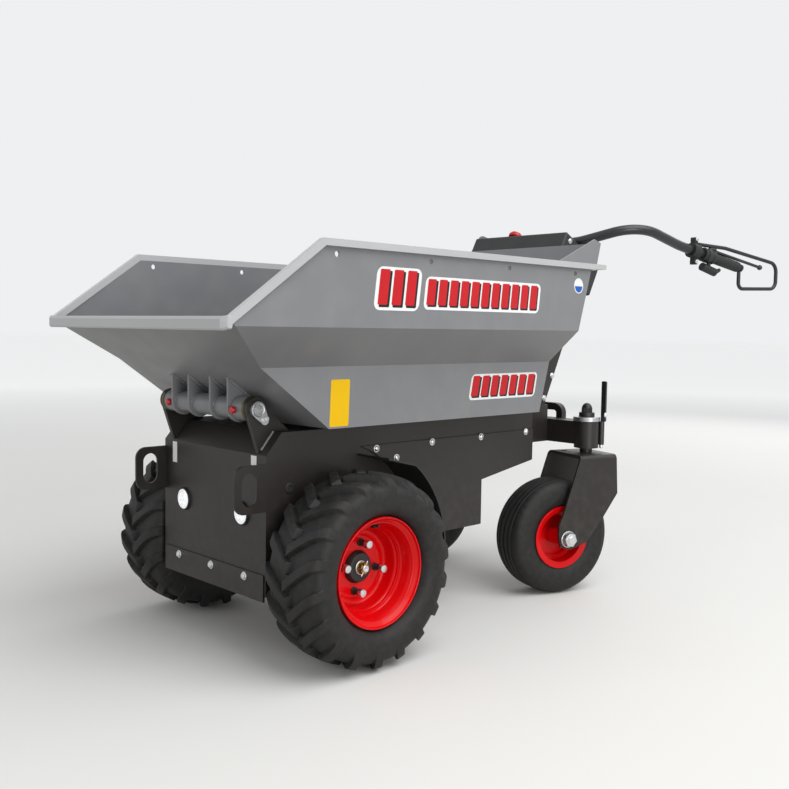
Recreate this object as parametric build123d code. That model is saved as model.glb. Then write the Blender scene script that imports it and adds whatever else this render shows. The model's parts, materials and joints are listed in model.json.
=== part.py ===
from build123d import *
from math import acos, atan2, cos, pi, radians, sin, sqrt
import os

# Electric walk-behind site dumper: two driven front wheels, two swivel casters on a
# cross beam at the back, a forward-tipping sheet skip and a handlebar behind it.
# Millimetres.  +Z up, +X to the machine's left, +Y to the rear (the front faces -Y).
# Sizes are laid out from the point on the ground under the front axle, and the whole
# machine is moved to the bottom centre of its bounding box when it is exported.

# ---------------------------------------------------------------- driving sizes
tyre_r = 203.0              # drive tyre, out to the tips of its lugs
tyre_w = 165.0
tread_r = 191.0             # floor of the tread between the lugs
lug_count = 16              # lugs on each half of the tread
lug_w = 24.0
rim_r = 116.0               # flange of an 8 inch rim
rim_seat_r = 101.0
rim_w = 132.0
rim_flange = 10.0            # depth of the flange that holds the tyre's bead
disc_inset = 14.0           # wheel disc, inboard of the wheel's centre plane
stud_circle = 102.0
axle_z = tyre_r
axle_tube_r = 38.0
shaft_r = 15.0
shaft_inner = 130.0         # inner end of each half shaft's bore

plate_t = 5.0               # side, front and rear plates of the chassis
deck_t = 4.0
chassis_half = 196.0        # outer face of the side plates
wheel_gap = 16.5            # from there to the inner wall of the drive tyre
track_half = chassis_half + wheel_gap + tyre_w / 2
chassis_front = -170.0
chassis_rear = 697.0
chassis_top = 486.0
front_plate_top = 440.0
nose_back = -131.0          # where the sloped nose meets the deck
skid_fold_z = 194.0
skid_bottom_z = 138.0
belly_front_z = 150.0
belly_z = 217.0
belly_end = 492.0
tail_low_z = 329.0
tail_high_z = 362.0
ear_reach = 77.0            # tie-down ears, ahead of the front plate
ear_low_z = 326.0
ear_high_z = 424.0
ear_round = 24.0
ear_band = 18.0             # steel left ahead of the ear's slot
slot_half = 18.0
slot_low_z = 341.0
slot_high_z = 409.0
lamp_x = 112.0
lamp_z = 311.0
lamp_r = 21.0
skirt_t = 4.0
skirt_top = 441.0
skirt_front = 83.0
arch_r = 253.0              # inner face of the mudguard round the drive wheel
arch_t = 4.0
guard_half = 300.0          # outer edge of the mudguard

hinge_y = -174.0
hinge_z = 533.0
pin_r = 15.0
running_gap = 0.05
ear_half = 168.0            # outer face of the hinge ears
ear_t = 10.0
ear_r = 25.0
keeper_t = 7.0
rib_r = 30.0
rib_t = 6.0
rib_x = (-108.0, -42.0, 42.0, 108.0)
boss_r = 25.0
washer_t = 6.5
boss_end = ear_half - ear_t - washer_t - 0.5
sleeve_r = 23.0

skip_t = 4.0
lip_y = -370.0
lip_z = 716.0
skip_top = 871.0
rim_corner_y = -154.0
skip_floor_z = 495.0
skip_floor_front = -66.0
skip_floor_rear = 630.0
fold_low_z = 623.0
fold_high_z = 702.0
floor_half = 269.0
low_half = 275.0
high_half = 350.0
top_half = 346.0
back_fold_y = 676.0
back_top_y = 735.0
rim_h = 14.0
rim_out = 356.0
rim_reach = 47.0            # rear flange of the rim, behind the back wall
hem_front = 8.0             # reach of the lip's hem ahead of the chute
hem_drop = 22.0
guard_z = 926.0              # top of the splash guard behind the rim
guard_t = 4.0
guard_y = 754.0              # its foot
guard_lean = 15.0
gusset_y = 595.0
gusset_z = 934.0

caster_x = 248.0            # king-pin of a caster
caster_y = 870.0
caster_trail = 108.0
caster_turn = -18.0         # swivel at which the machine is parked
caster_r = 153.0
caster_w = 110.0
caster_rim_r = 83.0
caster_seat_r = 72.0
fork_half = 75.0
fork_t = 6.0
fork_top = 372.0
fork_top_t = 8.0
fork_bend = 12.0
caster_axle_r = 10.0
king_r = 15.0
king_tube_r = 33.0
king_low = 384.0
king_high = 456.0
king_washer_r = 35.5
king_washer_t = 12.0
lock_top = 566.0

beam_half = 30.0
beam_front = caster_y - beam_half
beam_rear = caster_y + beam_half
beam_low = 394.0
beam_high = 456.0
rail_half = 138.0           # outer face of the two box rails
rail_t = 15.0
rail_top = 496.0
tow_half = 143.0            # loop of square bar behind the cross beam
tow_t = 20.0
tow_low = 402.0
tow_pin_r = 8.0

column_t = 5.0
column_low = 430.0
column_front_low = 732.0
column_depth = 80.0
column_lean = 0.493         # run to the rear for each unit of rise
console_half = 167.0
console_edge_y = 870.0      # upper front edge of the console
console_edge_z = 976.0
console_tilt = 28.0
console_depth = 185.0
console_high = 100.0
console_round = 6.0

bar_r = 14.0                # handlebar tube
bar_y = 945.0
bar_bend = 150.0            # where the middle of the handlebar turns upward
bar_peak = (298.0, 1025.0, 997.0)
clamp_at = (337.0, 1258.0, 939.0)
grip_turn = 15.5            # grips point outward by this from straight back
grip_fall = 0.218           # fall of the grips for each unit of run
grip_run = 195.0
grip_r = 15.0
switch_r = 19.0
inner_bar_r = 11.0
guard_rod_r = 5.5
guard_run = 349.0

ram_foot = (440.0, 240.0)   # (y, z) of the lifting ram's lower pin
ram_head = (0.0, 475.0)     # (y, z) of its upper pin under the skip
ram_r = 25.0
ram_rod_r = 15.0
ram_barrel = 330.0
ram_rod = 440.0
ram_pin_r = 8.0
ram_lug_in = 28.0
ram_lug_t = 6.0
ram_lug_r = 14.0

front_reach = lip_y - hem_front
rear_reach = clamp_at[1] + guard_run * cos(radians(grip_turn)) + guard_rod_r
centre_y = (front_reach + rear_reach) / 2


# ---------------------------------------------------------------- plain shapes
def block(x0, x1, y0, y1, z0, z1):
    """Box between two corners."""
    size = Box(x1 - x0, y1 - y0, z1 - z0)
    return Pos((x0 + x1) / 2, (y0 + y1) / 2, (z0 + z1) / 2) * size


def bar_x(radius, x0, x1, y, z):
    """Round bar across the machine."""
    return Pos((x0 + x1) / 2, y, z) * Rot(0, 90, 0) * Cylinder(radius, x1 - x0)


def bar_y_dir(radius, y0, y1, x, z):
    """Round bar along the machine."""
    return Pos(x, (y0 + y1) / 2, z) * Rot(90, 0, 0) * Cylinder(radius, y1 - y0)


def bar_z(radius, z0, z1, x, y):
    """Upright round bar."""
    return Pos(x, y, (z0 + z1) / 2) * Cylinder(radius, z1 - z0)


def rod(radius, start, end):
    """Round bar between two points."""
    a = Vector(*start)
    b = Vector(*end)
    run = b - a
    plane = Plane(origin=a, z_dir=run)
    return extrude(plane * Circle(radius), amount=run.length)


def prism_x(points, x0, x1):
    """Prism across the machine over a (y, z) outline."""
    outline = make_face(Polyline(*[(x0, y, z) for y, z in points], close=True))
    return extrude(outline, amount=x1 - x0, dir=(1, 0, 0))


def prism_y(points, y0, y1):
    """Prism along the machine over an (x, z) outline."""
    outline = make_face(Polyline(*[(x, y0, z) for x, z in points], close=True))
    return extrude(outline, amount=y1 - y0, dir=(0, 1, 0))


def teardrop(big, small, x0, x1):
    """Plate across the machine that wraps two circles, each (y, z, radius)."""
    y0, z0, r0 = big
    y1, z1, r1 = small
    run = sqrt((y1 - y0) ** 2 + (z1 - z0) ** 2)
    along = atan2(z1 - z0, y1 - y0)
    spread = acos((r0 - r1) / run)
    web = []
    for (y, z, r), turns in (((y0, z0, r0), (1, -1)), ((y1, z1, r1), (-1, 1))):
        for turn in turns:
            a = along + turn * spread
            web.append((y + r * cos(a), z + r * sin(a)))
    return bar_x(r0, x0, x1, y0, z0) + bar_x(r1, x0, x1, y1, z1) + prism_x(web, x0, x1)


def offset_line(points, gap):
    """Open outline moved to its left by gap, with mitred corners."""
    dirs = []
    for (a, b), (c, d) in zip(points, points[1:]):
        size = sqrt((c - a) ** 2 + (d - b) ** 2)
        dirs.append(((c - a) / size, (d - b) / size))
    moved = []
    for i, (a, b) in enumerate(points):
        before = dirs[max(i - 1, 0)]
        after = dirs[min(i, len(dirs) - 1)]
        n0 = (-before[1], before[0])
        n1 = (-after[1], after[0])
        scale = gap / (1 + n0[0] * n1[0] + n0[1] * n1[1])
        moved.append((a + (n0[0] + n1[0]) * scale, b + (n0[1] + n1[1]) * scale))
    return moved


def sheet(points, gap):
    """Closed outline of a bent sheet whose one face follows the points."""
    return points + offset_line(points, gap)[::-1]


def turned(profile, steps=360):
    """Solid of revolution about X over an (x, radius) outline."""
    face = make_face(Polyline(*[(x, r, 0) for x, r in profile], close=True))
    return revolve(face, axis=Axis.X, revolution_arc=steps)


def other_side(solid):
    """The same piece on the machine's right."""
    return mirror(solid, about=Plane.YZ)


# ---------------------------------------------------------------- chassis
def side_plate():
    """Left side plate with its tie-down ear, ear slot and axle hole."""
    tip = chassis_front - ear_reach
    outline = [
        (chassis_front, belly_front_z),
        (chassis_front, ear_low_z),
        (tip, ear_low_z),
        (tip, ear_high_z),
        (chassis_front, ear_high_z),
        (chassis_front, front_plate_top),
        (nose_back, chassis_top),
        (chassis_rear, chassis_top),
        (chassis_rear, tail_high_z),
        (belly_end, tail_low_z),
        (belly_end, belly_z - deck_t),
        (142, belly_z - deck_t),
        (112, belly_front_z),
    ]
    plate = prism_x(outline, chassis_half - plate_t, chassis_half)
    corners = plate.edges().filter_by(Axis.X).filter_by_position(Axis.Y, tip - 1, tip + 1)
    plate = fillet(corners, ear_round)
    slot_y = tip + ear_band + slot_half
    low = slot_low_z + slot_half
    high = slot_high_z - slot_half
    x0 = chassis_half - 2 * plate_t
    x1 = chassis_half + plate_t
    plate -= block(x0, x1, slot_y - slot_half, slot_y + slot_half, low, high)
    plate -= bar_x(slot_half, x0, x1, slot_y, low)
    plate -= bar_x(slot_half, x0, x1, slot_y, high)
    return plate - bar_x(axle_tube_r, x0, x1, 0, axle_z)


def front_plate():
    """Front plate with the seats of its two lamps."""
    half = chassis_half - plate_t
    plate = block(-half, half, chassis_front, chassis_front + plate_t, skid_fold_z, front_plate_top)
    for x in (-lamp_x, lamp_x):
        plate -= bar_y_dir(lamp_r, chassis_front - 5, chassis_front + 20, x, lamp_z)
    return plate - deck_plate()


def lamp():
    """Left round lamp, set in the front plate."""
    body = bar_y_dir(lamp_r, chassis_front - 4, chassis_front + 22, lamp_x, lamp_z)
    return body + bar_y_dir(lamp_r + 3, chassis_front - 3, chassis_front, lamp_x, lamp_z)


def skid_plate():
    """Bolted lower edge of the front plate."""
    half = chassis_half - plate_t
    front = chassis_front - 3
    return block(-half, half, front, front + plate_t, skid_bottom_z, skid_fold_z)


def deck_plate():
    """Sloped nose and flat deck, open where the ram passes."""
    half = chassis_half - plate_t
    run = [
        (chassis_front, front_plate_top),
        (nose_back, chassis_top),
        (chassis_rear - plate_t, chassis_top),
    ]
    deck = prism_x(sheet(run, -deck_t), -half, half)
    deck -= block(-50, 50, -35, 350, chassis_top - 20, chassis_top + 5)
    return deck


def rest_pad():
    """Left rubber buffer on the deck, under the skip's floor."""
    return bar_z(16, chassis_top, skip_floor_z - 0.3, 130, 560)


def belly_pan():
    """Bent sheet that closes the chassis from below, with the lugs of the ram's foot."""
    half = chassis_half - plate_t
    run = [
        (chassis_front + plate_t, belly_front_z),
        (112, belly_front_z),
        (142, belly_z - deck_t),
        (belly_end - deck_t, belly_z - deck_t),
        (belly_end - deck_t, tail_low_z),
        (chassis_rear - plate_t, tail_high_z),
    ]
    pan = prism_x(sheet(run, deck_t), -half, half)
    y, z = ram_foot
    for side in (-1, 1):
        x0 = side * ram_lug_in
        x1 = side * (ram_lug_in + ram_lug_t)
        lug = block(min(x0, x1), max(x0, x1), y - ram_lug_r, y + ram_lug_r, belly_z, z)
        lug += bar_x(ram_lug_r, min(x0, x1), max(x0, x1), y, z)
        pan += lug
    pan += bar_x(ram_pin_r, -ram_lug_in - ram_lug_t - 3, ram_lug_in + ram_lug_t + 3, y, z)
    return pan


def axle_housing():
    """Drive unit: axle tube, gearbox and motor, with bores for the two half shafts."""
    end = chassis_half + 27
    unit = bar_x(axle_tube_r, -end, end, 0, axle_z)
    unit += block(-62, 62, -62, 84, belly_front_z + deck_t, 276)
    unit += bar_x(50, 62, 172, 34, axle_z + 18)
    for side in (-1, 1):
        a = side * (end + 5)
        b = side * shaft_inner
        unit -= bar_x(shaft_r + running_gap, min(a, b), max(a, b), 0, axle_z)
    return unit



def battery():
    """Left battery block, on the belly pan beside the ram."""
    return block(46, chassis_half - plate_t - 4, 130, belly_end - deck_t - 6, belly_z, 398)


def skirt():
    """Left bolted skirt, with the arch round the drive wheel."""
    x0 = chassis_half
    x1 = chassis_half + skirt_t
    start_z = axle_z + sqrt(arch_r ** 2 - skirt_front ** 2)
    low = belly_z - 2
    start = (skirt_front, min(start_z, skirt_top - 10))
    low_y = sqrt(arch_r ** 2 - (low - axle_z) ** 2)
    outline = [
        start,
        (skirt_front, skirt_top),
        (chassis_rear - 2, skirt_top),
        (chassis_rear - 2, tail_high_z - 2),
        (belly_end, tail_low_z - 2),
        (belly_end, low),
        (low_y, low),
    ]
    panel = prism_x(outline, x0, x1)
    return panel - bar_x(arch_r, x0 - 5, x1 + 5, 0, axle_z)


def mudguard():
    """Left mudguard: a strip that follows the drive wheel and ends in a flat top."""
    top_y = arch_r * cos(radians(52))
    top_z = axle_z + arch_r * sin(radians(52))
    band = bar_x(arch_r + arch_t, chassis_half + skirt_t, guard_half, 0, axle_z)
    band -= bar_x(arch_r, chassis_half, guard_half + 5, 0, axle_z)
    wedge = [
        (0, axle_z),
        (500 * cos(radians(52)), axle_z + 500 * sin(radians(52))),
        (600, axle_z + 350),
        (600, axle_z + 6),
        (0, axle_z + 6),
    ]
    band &= prism_x(wedge, chassis_half, guard_half + 5)
    up_y = (arch_r + arch_t) * cos(radians(52))
    up_z = axle_z + (arch_r + arch_t) * sin(radians(52))
    start = skirt_front - 8
    flat = [(start, top_z + 20), (top_y, top_z), (up_y, up_z), (start, top_z + 20 + arch_t)]
    strip = prism_x(flat, chassis_half + skirt_t, guard_half)
    return band + strip


def hinge_ear():
    """Left ear on the nose that carries the skip's hinge pin."""
    x0 = ear_half - ear_t
    outline = [
        (hinge_y - ear_r, hinge_z),
        (chassis_front + 2, front_plate_top + 2.4),
        (nose_back, chassis_top),
        (nose_back + 40, chassis_top),
        (hinge_y + ear_r, hinge_z),
    ]
    ear = prism_x(outline, x0, ear_half) + bar_x(ear_r, x0, ear_half, hinge_y, hinge_z)
    return ear - bar_x(pin_r, x0 - 5, ear_half + 5, hinge_y, hinge_z)


def hinge_pin():
    """Hinge pin, its thrust washers and the two keeper plates."""
    pin = bar_x(pin_r, -ear_half, ear_half, hinge_y, hinge_z)
    for side in (-1, 1):
        a = side * (ear_half - ear_t - washer_t)
        b = side * (ear_half - ear_t)
        pin += bar_x(ear_r, min(a, b), max(a, b), hinge_y, hinge_z)
        c = side * ear_half
        d = side * (ear_half + keeper_t)
        big = (hinge_y, hinge_z, 17)
        small = (hinge_y + 16.5, hinge_z - 23, 9)
        pin += teardrop(big, small, min(c, d), max(c, d))
    return pin


# ---------------------------------------------------------------- rear frame
def rear_frame():
    """Rear plate, two rails and the cross beam with its king-pin tubes."""
    half = chassis_half - plate_t
    frame = block(-half, half, chassis_rear - plate_t, chassis_rear, tail_high_z, chassis_top)
    for side in (-1, 1):
        a = side * rail_half
        b = side * (rail_half - rail_t)
        frame += block(min(a, b), max(a, b), chassis_rear, beam_front, beam_low, rail_top)
    frame += block(-caster_x, caster_x, beam_front, beam_rear, beam_low, beam_high)
    for side in (-1, 1):
        frame += bar_z(king_tube_r, king_low, king_high, side * caster_x, caster_y)
    for side in (-1, 1):
        bore = bar_z(king_r + running_gap, king_low - 5, king_high + 5, side * caster_x, caster_y)
        frame -= bore
    return frame


def tow_hitch():
    """Square bar bent to a loop on the back of the cross beam, with the tow pin's hole."""
    y0 = beam_rear
    y1 = beam_rear + tow_t
    outer = block(-tow_half, tow_half, y0, y1, tow_low, rail_top)
    outer = fillet(outer.edges().filter_by(Axis.Y).group_by(Axis.Z)[-1], 1.4 * tow_t)
    inner = block(-tow_half + tow_t, tow_half - tow_t, y0, y1, tow_low - tow_t, rail_top - tow_t)
    inner = fillet(inner.edges().filter_by(Axis.Y).group_by(Axis.Z)[-1], 0.4 * tow_t)
    loop = outer - inner
    return loop - bar_z(tow_pin_r, rail_top - 2 * tow_t, rail_top + tow_t, 0, (y0 + y1) / 2)


def lock_pin():
    """Left swivel lock: guide tube and raised pin beside the king-pin tube."""
    gap = (king_tube_r + 8) * sqrt(0.5)
    x = caster_x + gap
    y = caster_y + gap
    lock = bar_z(8, beam_low - 2, king_high, x, y)
    lever = block(x - 2, x + 12, y - 2, y + 4, king_high, lock_top)
    top = lever.edges().filter_by(Axis.Y).group_by(Axis.Z)[-1]
    return lock + fillet(top, 4)


def column():
    """Leaning channel that carries the console: two cheeks and a front web."""
    top = 900.0
    rise = top - column_low
    front_top = column_front_low + column_lean * rise
    cheek = [
        (column_front_low, column_low),
        (column_front_low + column_depth, column_low),
        (front_top + column_depth, top),
        (front_top, top),
    ]
    x1 = rail_half - rail_t
    x0 = x1 - column_t
    post = prism_x(cheek, x0, x1) + prism_x(cheek, -x1, -x0)
    foot = rail_top + 12
    foot_y = column_front_low + column_lean * (foot - column_low)
    web = [
        (foot_y, foot),
        (foot_y + column_t, foot),
        (front_top + column_t, top),
        (front_top, top),
    ]
    post += prism_x(web, -x0, x0)
    cut = [console_point(-80, -console_high), console_point(400, -console_high)]
    cut += [console_point(400, 300), console_point(-80, 300)]
    return post - prism_x(cut, -400, 400)


def console_point(along, up):
    """(y, z) of a point given along the console's top and square to it."""
    c = cos(radians(console_tilt))
    s = sin(radians(console_tilt))
    return (console_edge_y + along * c + up * s, console_edge_z - along * s + up * c)


def console():
    """Control box, tilted to the operator."""
    outline = [
        console_point(0, 0),
        console_point(console_depth, 0),
        console_point(console_depth, -console_high),
        console_point(0, -console_high),
    ]
    box = prism_x(outline, -console_half, console_half)
    return fillet(box.edges(), console_round)


def stop_button():
    """Emergency stop on the console's top."""
    start = console_point(34, 0)
    neck = console_point(34, 14)
    end = console_point(34, 27)
    x = -46
    return rod(11, (x, *start), (x, *neck)) + rod(16, (x, *neck), (x, *end))


# ---------------------------------------------------------------- handlebar
def bar_centre_z():
    """Height of the handlebar's middle, lying on the console's top."""
    y_top, z_top = console_point(0, 0)
    slope = sin(radians(console_tilt)) / cos(radians(console_tilt))
    on_top = z_top - (bar_y - y_top) * slope
    return on_top + (bar_r + 0.2) / cos(radians(console_tilt))


def grip_point(run, lift, out=0.0):
    """Point given by its run behind the clamp, its lift over the grip's axis and offset."""
    a = radians(grip_turn)
    x, y, z = clamp_at
    px = x + run * sin(a) + out * cos(a)
    py = y + run * cos(a) - out * sin(a)
    return (px, py, z - grip_fall * run + lift)


def handlebar():
    """One bent tube, lying on the console and held by two saddles."""
    z = bar_centre_z()
    corner = [
        (0, bar_y, z),
        (bar_bend, bar_y, z),
        bar_peak,
        grip_point(-60, 0),
        clamp_at,
    ]
    path = FilletPolyline(*corner, radius=[90, 130, 300])
    arm = sweep(Plane(origin=corner[0], z_dir=(1, 0, 0)) * Circle(bar_r), path=path)
    tube = arm + other_side(arm)
    for x in (-70, 70):
        y0, z0 = console_point((bar_y - console_edge_y) / cos(radians(console_tilt)) - 26, 0)
        y1, z1 = console_point((bar_y - console_edge_y) / cos(radians(console_tilt)) + 14, 0)
        ny = sin(radians(console_tilt)) * 20
        nz = cos(radians(console_tilt)) * 20
        saddle = prism_x([(y0, z0), (y1, z1), (y1 + ny, z1 + nz), (y0 + ny, z0 + nz)], x - 14, x + 14)
        tube += saddle
    return tube


def grip():
    """Left grip: clamp with its ears, inner bar, switch block and rubber grip."""
    clamp = rod(22, grip_point(-14, 0), grip_point(12, 0))
    clamp += Pos(*grip_point(0, 0)) * Rot(0, 0, -grip_turn) * Box(16, 14, 78)
    clamp -= rod(bar_r + 0.2, grip_point(-30, 0), grip_point(0.2, 0))
    body = rod(inner_bar_r, grip_point(10, 0), grip_point(grip_run, 0))
    body += rod(switch_r, grip_point(32, 0), grip_point(76, 0))
    body += rod(grip_r, grip_point(76, 0), grip_point(grip_run - 16, 0))
    body += rod(12, grip_point(33, -36), grip_point(86, -40))
    body += rod(6, grip_point(60, -36), grip_point(60, 0))
    return clamp + body


def brake_lever():
    """Left brake lever with its ball end."""
    low = grip_r + 6
    lever = rod(4.5, grip_point(84, low), grip_point(272, low + 3))
    lever += Pos(*grip_point(276, low + 3)) * Sphere(8)
    return lever + rod(6, grip_point(85, grip_r + 2.2), grip_point(85, low + 4))


def hand_guard():
    """Left guard rod: out over the hand, round behind it and back under the grip's end."""
    a = radians(grip_turn)
    corner = [
        (18.2, 24),
        (126, 42),
        (guard_run, 53),
        (guard_run, -23),
        (grip_run - 8, -63),
        (grip_run - 8, -inner_bar_r - 0.6),
    ]
    plane = Plane(origin=clamp_at, x_dir=(sin(a), cos(a), 0), z_dir=(cos(a), -sin(a), 0))
    spots = [(run, lift - grip_fall * run) for run, lift in corner]
    path = plane * FilletPolyline(*spots, radius=[120, 30, 24, 18])
    begin = path @ 0
    ahead = path % 0
    return sweep(Plane(origin=begin, z_dir=ahead) * Circle(guard_rod_r), path=path)


# ---------------------------------------------------------------- drive wheels
def shell_solid(rings, twists):
    """Closed faceted solid of revolution about X: each ring is a list of (x, radius, angle)."""
    spots = [[Vector(x, r * cos(a), r * sin(a)) for x, r, a in ring] for ring in rings]
    faces = []
    for this, after, twist in zip(spots, spots[1:] + spots[:1], twists):
        count = len(this)
        for k in range(count):
            a, b = this[k], this[(k + 1) % count]
            c, d = after[(k + 1 + twist) % count], after[(k + twist) % count]
            for corner in ((a, b, c), (a, c, d)):
                faces.append(Face(Wire.make_polygon(corner)))
    return Solid(Shell(faces))


def even_ring(x, radius, count, start=0.0):
    """One ring of equally spaced corners, with its flats at the given radius."""
    step = 2 * pi / count
    return [(x, radius / cos(step / 2), start + k * step) for k in range(count)]


def tyre():
    """Left drive tyre with its chevron lugs, each a bar that trails from the crown to the wall."""
    h = tyre_w / 2
    # x, radius of the tread's floor, radius of the lug's top, trail of the lug along the tread
    table = [
        (3, tread_r, tread_r, 0),
        (6, tread_r, tyre_r, 0),
        (36, tread_r - 1, tyre_r - 1, 26),
        (62, tread_r - 5, tyre_r - 5, 44),
        (76, tread_r - 12, tyre_r - 13, 51),
        (h, 166, 173, 54),
    ]
    pitch = 2 * pi / lug_count
    step = pitch / 4
    half = lug_w / 2 / tyre_r
    rings = []
    for x, floor, top, trail in table:
        ring = []
        for k in range(lug_count):
            middle = k * pitch - trail / tyre_r
            ring += [
                (x, floor, middle - half - 0.012),
                (x, top, middle - half),
                (x, top, middle + half),
                (x, floor, middle + half + 0.012),
            ]
        rings.append(ring)
    bead = rim_w / 2
    seat = [(h - 6, rim_r + 10), (bead - rim_flange - 0.4, rim_r + 0.6)]
    seat.append((bead - rim_flange - 2.4, rim_seat_r + 0.4))
    start = -table[-1][3] / tyre_r - 1.5 * step
    for x, r in seat:
        rings.append(even_ring(x, r, 4 * lug_count, start))
    shift = pitch / 2
    other = [[(-x, r, angle + shift) for x, r, angle in ring] for ring in rings]
    loop = rings[::-1] + other
    twists = [0] * (len(loop) - 1) + [2]
    return Pos(track_half, 0, axle_z) * shell_solid(loop, twists)


def wheel_rim():
    """Left deep-dished rim, its hub, studs and half shaft."""
    w = rim_w / 2
    f = w - rim_flange
    outer = [
        (w, rim_r),
        (f, rim_r),
        (f - 2, rim_seat_r),
        (w - 34, rim_seat_r - 3),
        (w - 42, 88),
        (-w + 30, 88),
        (-w + 24, rim_seat_r - 3),
        (-f + 2, rim_seat_r),
        (-f, rim_r),
        (-w, rim_r),
    ]
    inner = [
        (-w, rim_r - 3),
        (-f + 1, rim_seat_r - 4),
        (-w + 22, rim_seat_r - 8),
        (-w + 30, 82),
        (w - 46, 82),
        (w - 37, rim_seat_r - 8),
        (f - 1, rim_seat_r - 4),
        (w - 6, rim_r - 12),
        (w, rim_r - 3),
    ]
    barrel = turned(outer + inner)
    hub = turned([
        (-disc_inset - 3, 0),
        (-disc_inset - 3, 84),
        (-disc_inset + 3, 84),
        (-disc_inset + 3, 33),
        (-disc_inset + 12, 30),
        (-disc_inset + 12, 16),
        (-disc_inset + 38, 16),
        (-disc_inset + 38, 0),
    ])
    wheel = barrel + hub
    for k in range(4):
        a = radians(81 + 90 * k)
        y = stud_circle / 2 * cos(a)
        z = stud_circle / 2 * sin(a)
        wheel += bar_x(8.5, -disc_inset + 2, -disc_inset + 8, y, z)
        wheel += bar_x(5, -disc_inset + 7, -disc_inset + 26, y, z)
    hub_x = chassis_half + 27 + 6 - track_half
    wheel += bar_x(32, hub_x, -disc_inset, 0, 0)
    wheel += bar_x(shaft_r, shaft_inner + 2 - track_half, -disc_inset, 0, 0)
    return Pos(track_half, 0, axle_z) * wheel


# ---------------------------------------------------------------- casters
def caster_place(solid, side):
    """Put a caster piece, laid out from its wheel centre, under its king-pin."""
    x = side * caster_x + caster_trail * sin(radians(caster_turn))
    y = caster_y - caster_trail * cos(radians(caster_turn))
    return Pos(x, y, 0) * Rot(0, 0, caster_turn) * solid


def fork():
    """Bent fork with its axle, king-pin, washer and cap nut."""
    cheek = [
        (38, fork_top),
        (-14, 222),
        (-28, 190),
        (-28, caster_r),
        (-22, 133),
        (8, 124),
        (62, 140),
        (112, 200),
        (160, 266),
        (154, fork_top),
    ]
    low = 100.0
    outer = Pos(0, 70, (low + fork_top) / 2) * Box(2 * fork_half, 300, fork_top - low)
    outer = fillet(outer.edges().filter_by(Axis.Y).group_by(Axis.Z)[-1], fork_bend)
    inner = Pos(0, 70, (low + fork_top) / 2 - fork_top_t)
    hollow = inner * Box(2 * (fork_half - fork_t), 320, fork_top - low)
    hollow = fillet(hollow.edges().filter_by(Axis.Y).group_by(Axis.Z)[-1], fork_bend - fork_t)
    body = (outer - hollow) & prism_x(cheek, -fork_half - 1, fork_half + 1)
    for x in (-36, 36):
        body -= bar_z(9, fork_top - 20, fork_top + 5, x, 62)
    body += bar_x(caster_axle_r, -fork_half - 16, fork_half + 16, 0, caster_r)
    for side in (-1, 1):
        a = side * fork_half
        b = side * (fork_half + 13)
        body += bar_x(16, min(a, b), max(a, b), 0, caster_r)
    y = caster_trail
    washer_top = king_high + king_washer_t
    body += bar_z(17, fork_top, king_low - 0.3, 0, y)
    body += bar_z(king_r, fork_top, washer_top, 0, y)
    body += bar_z(king_washer_r, king_high + 0.3, washer_top, 0, y)
    body += bar_z(20.5, washer_top, washer_top + 12, 0, y)
    body += bar_z(13, washer_top + 12, washer_top + 25, 0, y)
    body += Pos(0, y, washer_top + 25) * Sphere(13)
    return body


def caster_tyre():
    """Ribbed caster tyre."""
    h = caster_w / 2
    outer = [
        (43, caster_seat_r + 0.6),
        (46, caster_rim_r + 1),
        (h, 96),
        (h, 118),
        (h - 3, 136),
        (h - 10, 147),
        (h - 24, caster_r),
    ]
    count = 32
    rings = [even_ring(x, r * cos(pi / count), count) for x, r in outer[2:]]
    seat = [even_ring(x, r, count) for x, r in outer[:2]]
    rings = seat + rings
    other = [[(-x, r, angle) for x, r, angle in ring] for ring in rings[::-1]]
    return Pos(0, 0, caster_r) * shell_solid(rings + other, [0] * (2 * len(rings)))


def caster_rim():
    """Dished caster rim with its bored hub."""
    outer = [
        (50, caster_rim_r),
        (47, caster_rim_r),
        (44, caster_seat_r),
        (18, caster_seat_r - 3),
        (12, 60),
        (-12, 60),
        (-18, caster_seat_r - 3),
        (-44, caster_seat_r),
        (-47, caster_rim_r),
        (-50, caster_rim_r),
    ]
    inner = [
        (-50, caster_rim_r - 4),
        (-47, caster_seat_r - 5),
        (-20, caster_seat_r - 8),
        (-14, 55),
        (14, 55),
        (20, caster_seat_r - 8),
        (47, caster_seat_r - 5),
        (50, caster_rim_r - 4),
    ]
    rim = turned(outer + inner)
    rim += turned([(-3, 20), (-3, 57), (3, 57), (3, 20)])
    bore = caster_axle_r + running_gap
    hub_end = fork_half - fork_t - 2
    rim += turned([(-hub_end, bore), (-hub_end, 22), (hub_end, 22), (hub_end, bore)])
    return Pos(0, 0, caster_r) * rim


# ---------------------------------------------------------------- skip
skip_run = [
    (lip_y, lip_z),
    (skip_floor_front, skip_floor_z),
    (skip_floor_rear, skip_floor_z),
    (back_fold_y, fold_high_z),
    (back_top_y, skip_top),
]
side_run = [
    (floor_half, skip_floor_z),
    (low_half, fold_low_z),
    (high_half, fold_high_z),
    (top_half, skip_top - rim_h),
]
rim_run = [(lip_y, lip_z), (rim_corner_y, skip_top), (back_top_y, skip_top)]


rim_in = top_half - skip_t


def between_sides():
    """Space between the inner faces of the two side sheets."""
    inside = offset_line(side_run, skip_t)
    flare = (low_half - floor_half) / (fold_low_z - skip_floor_z)
    inside[0] = (inside[0][0] - 20 * flare, inside[0][1] - 20)
    high = [(inside[-1][0], skip_top + 60)]
    right = inside + high
    left = [(-x, z) for x, z in right[::-1]]
    return prism_y(right + left, lip_y - 60, back_top_y + 60)


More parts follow.
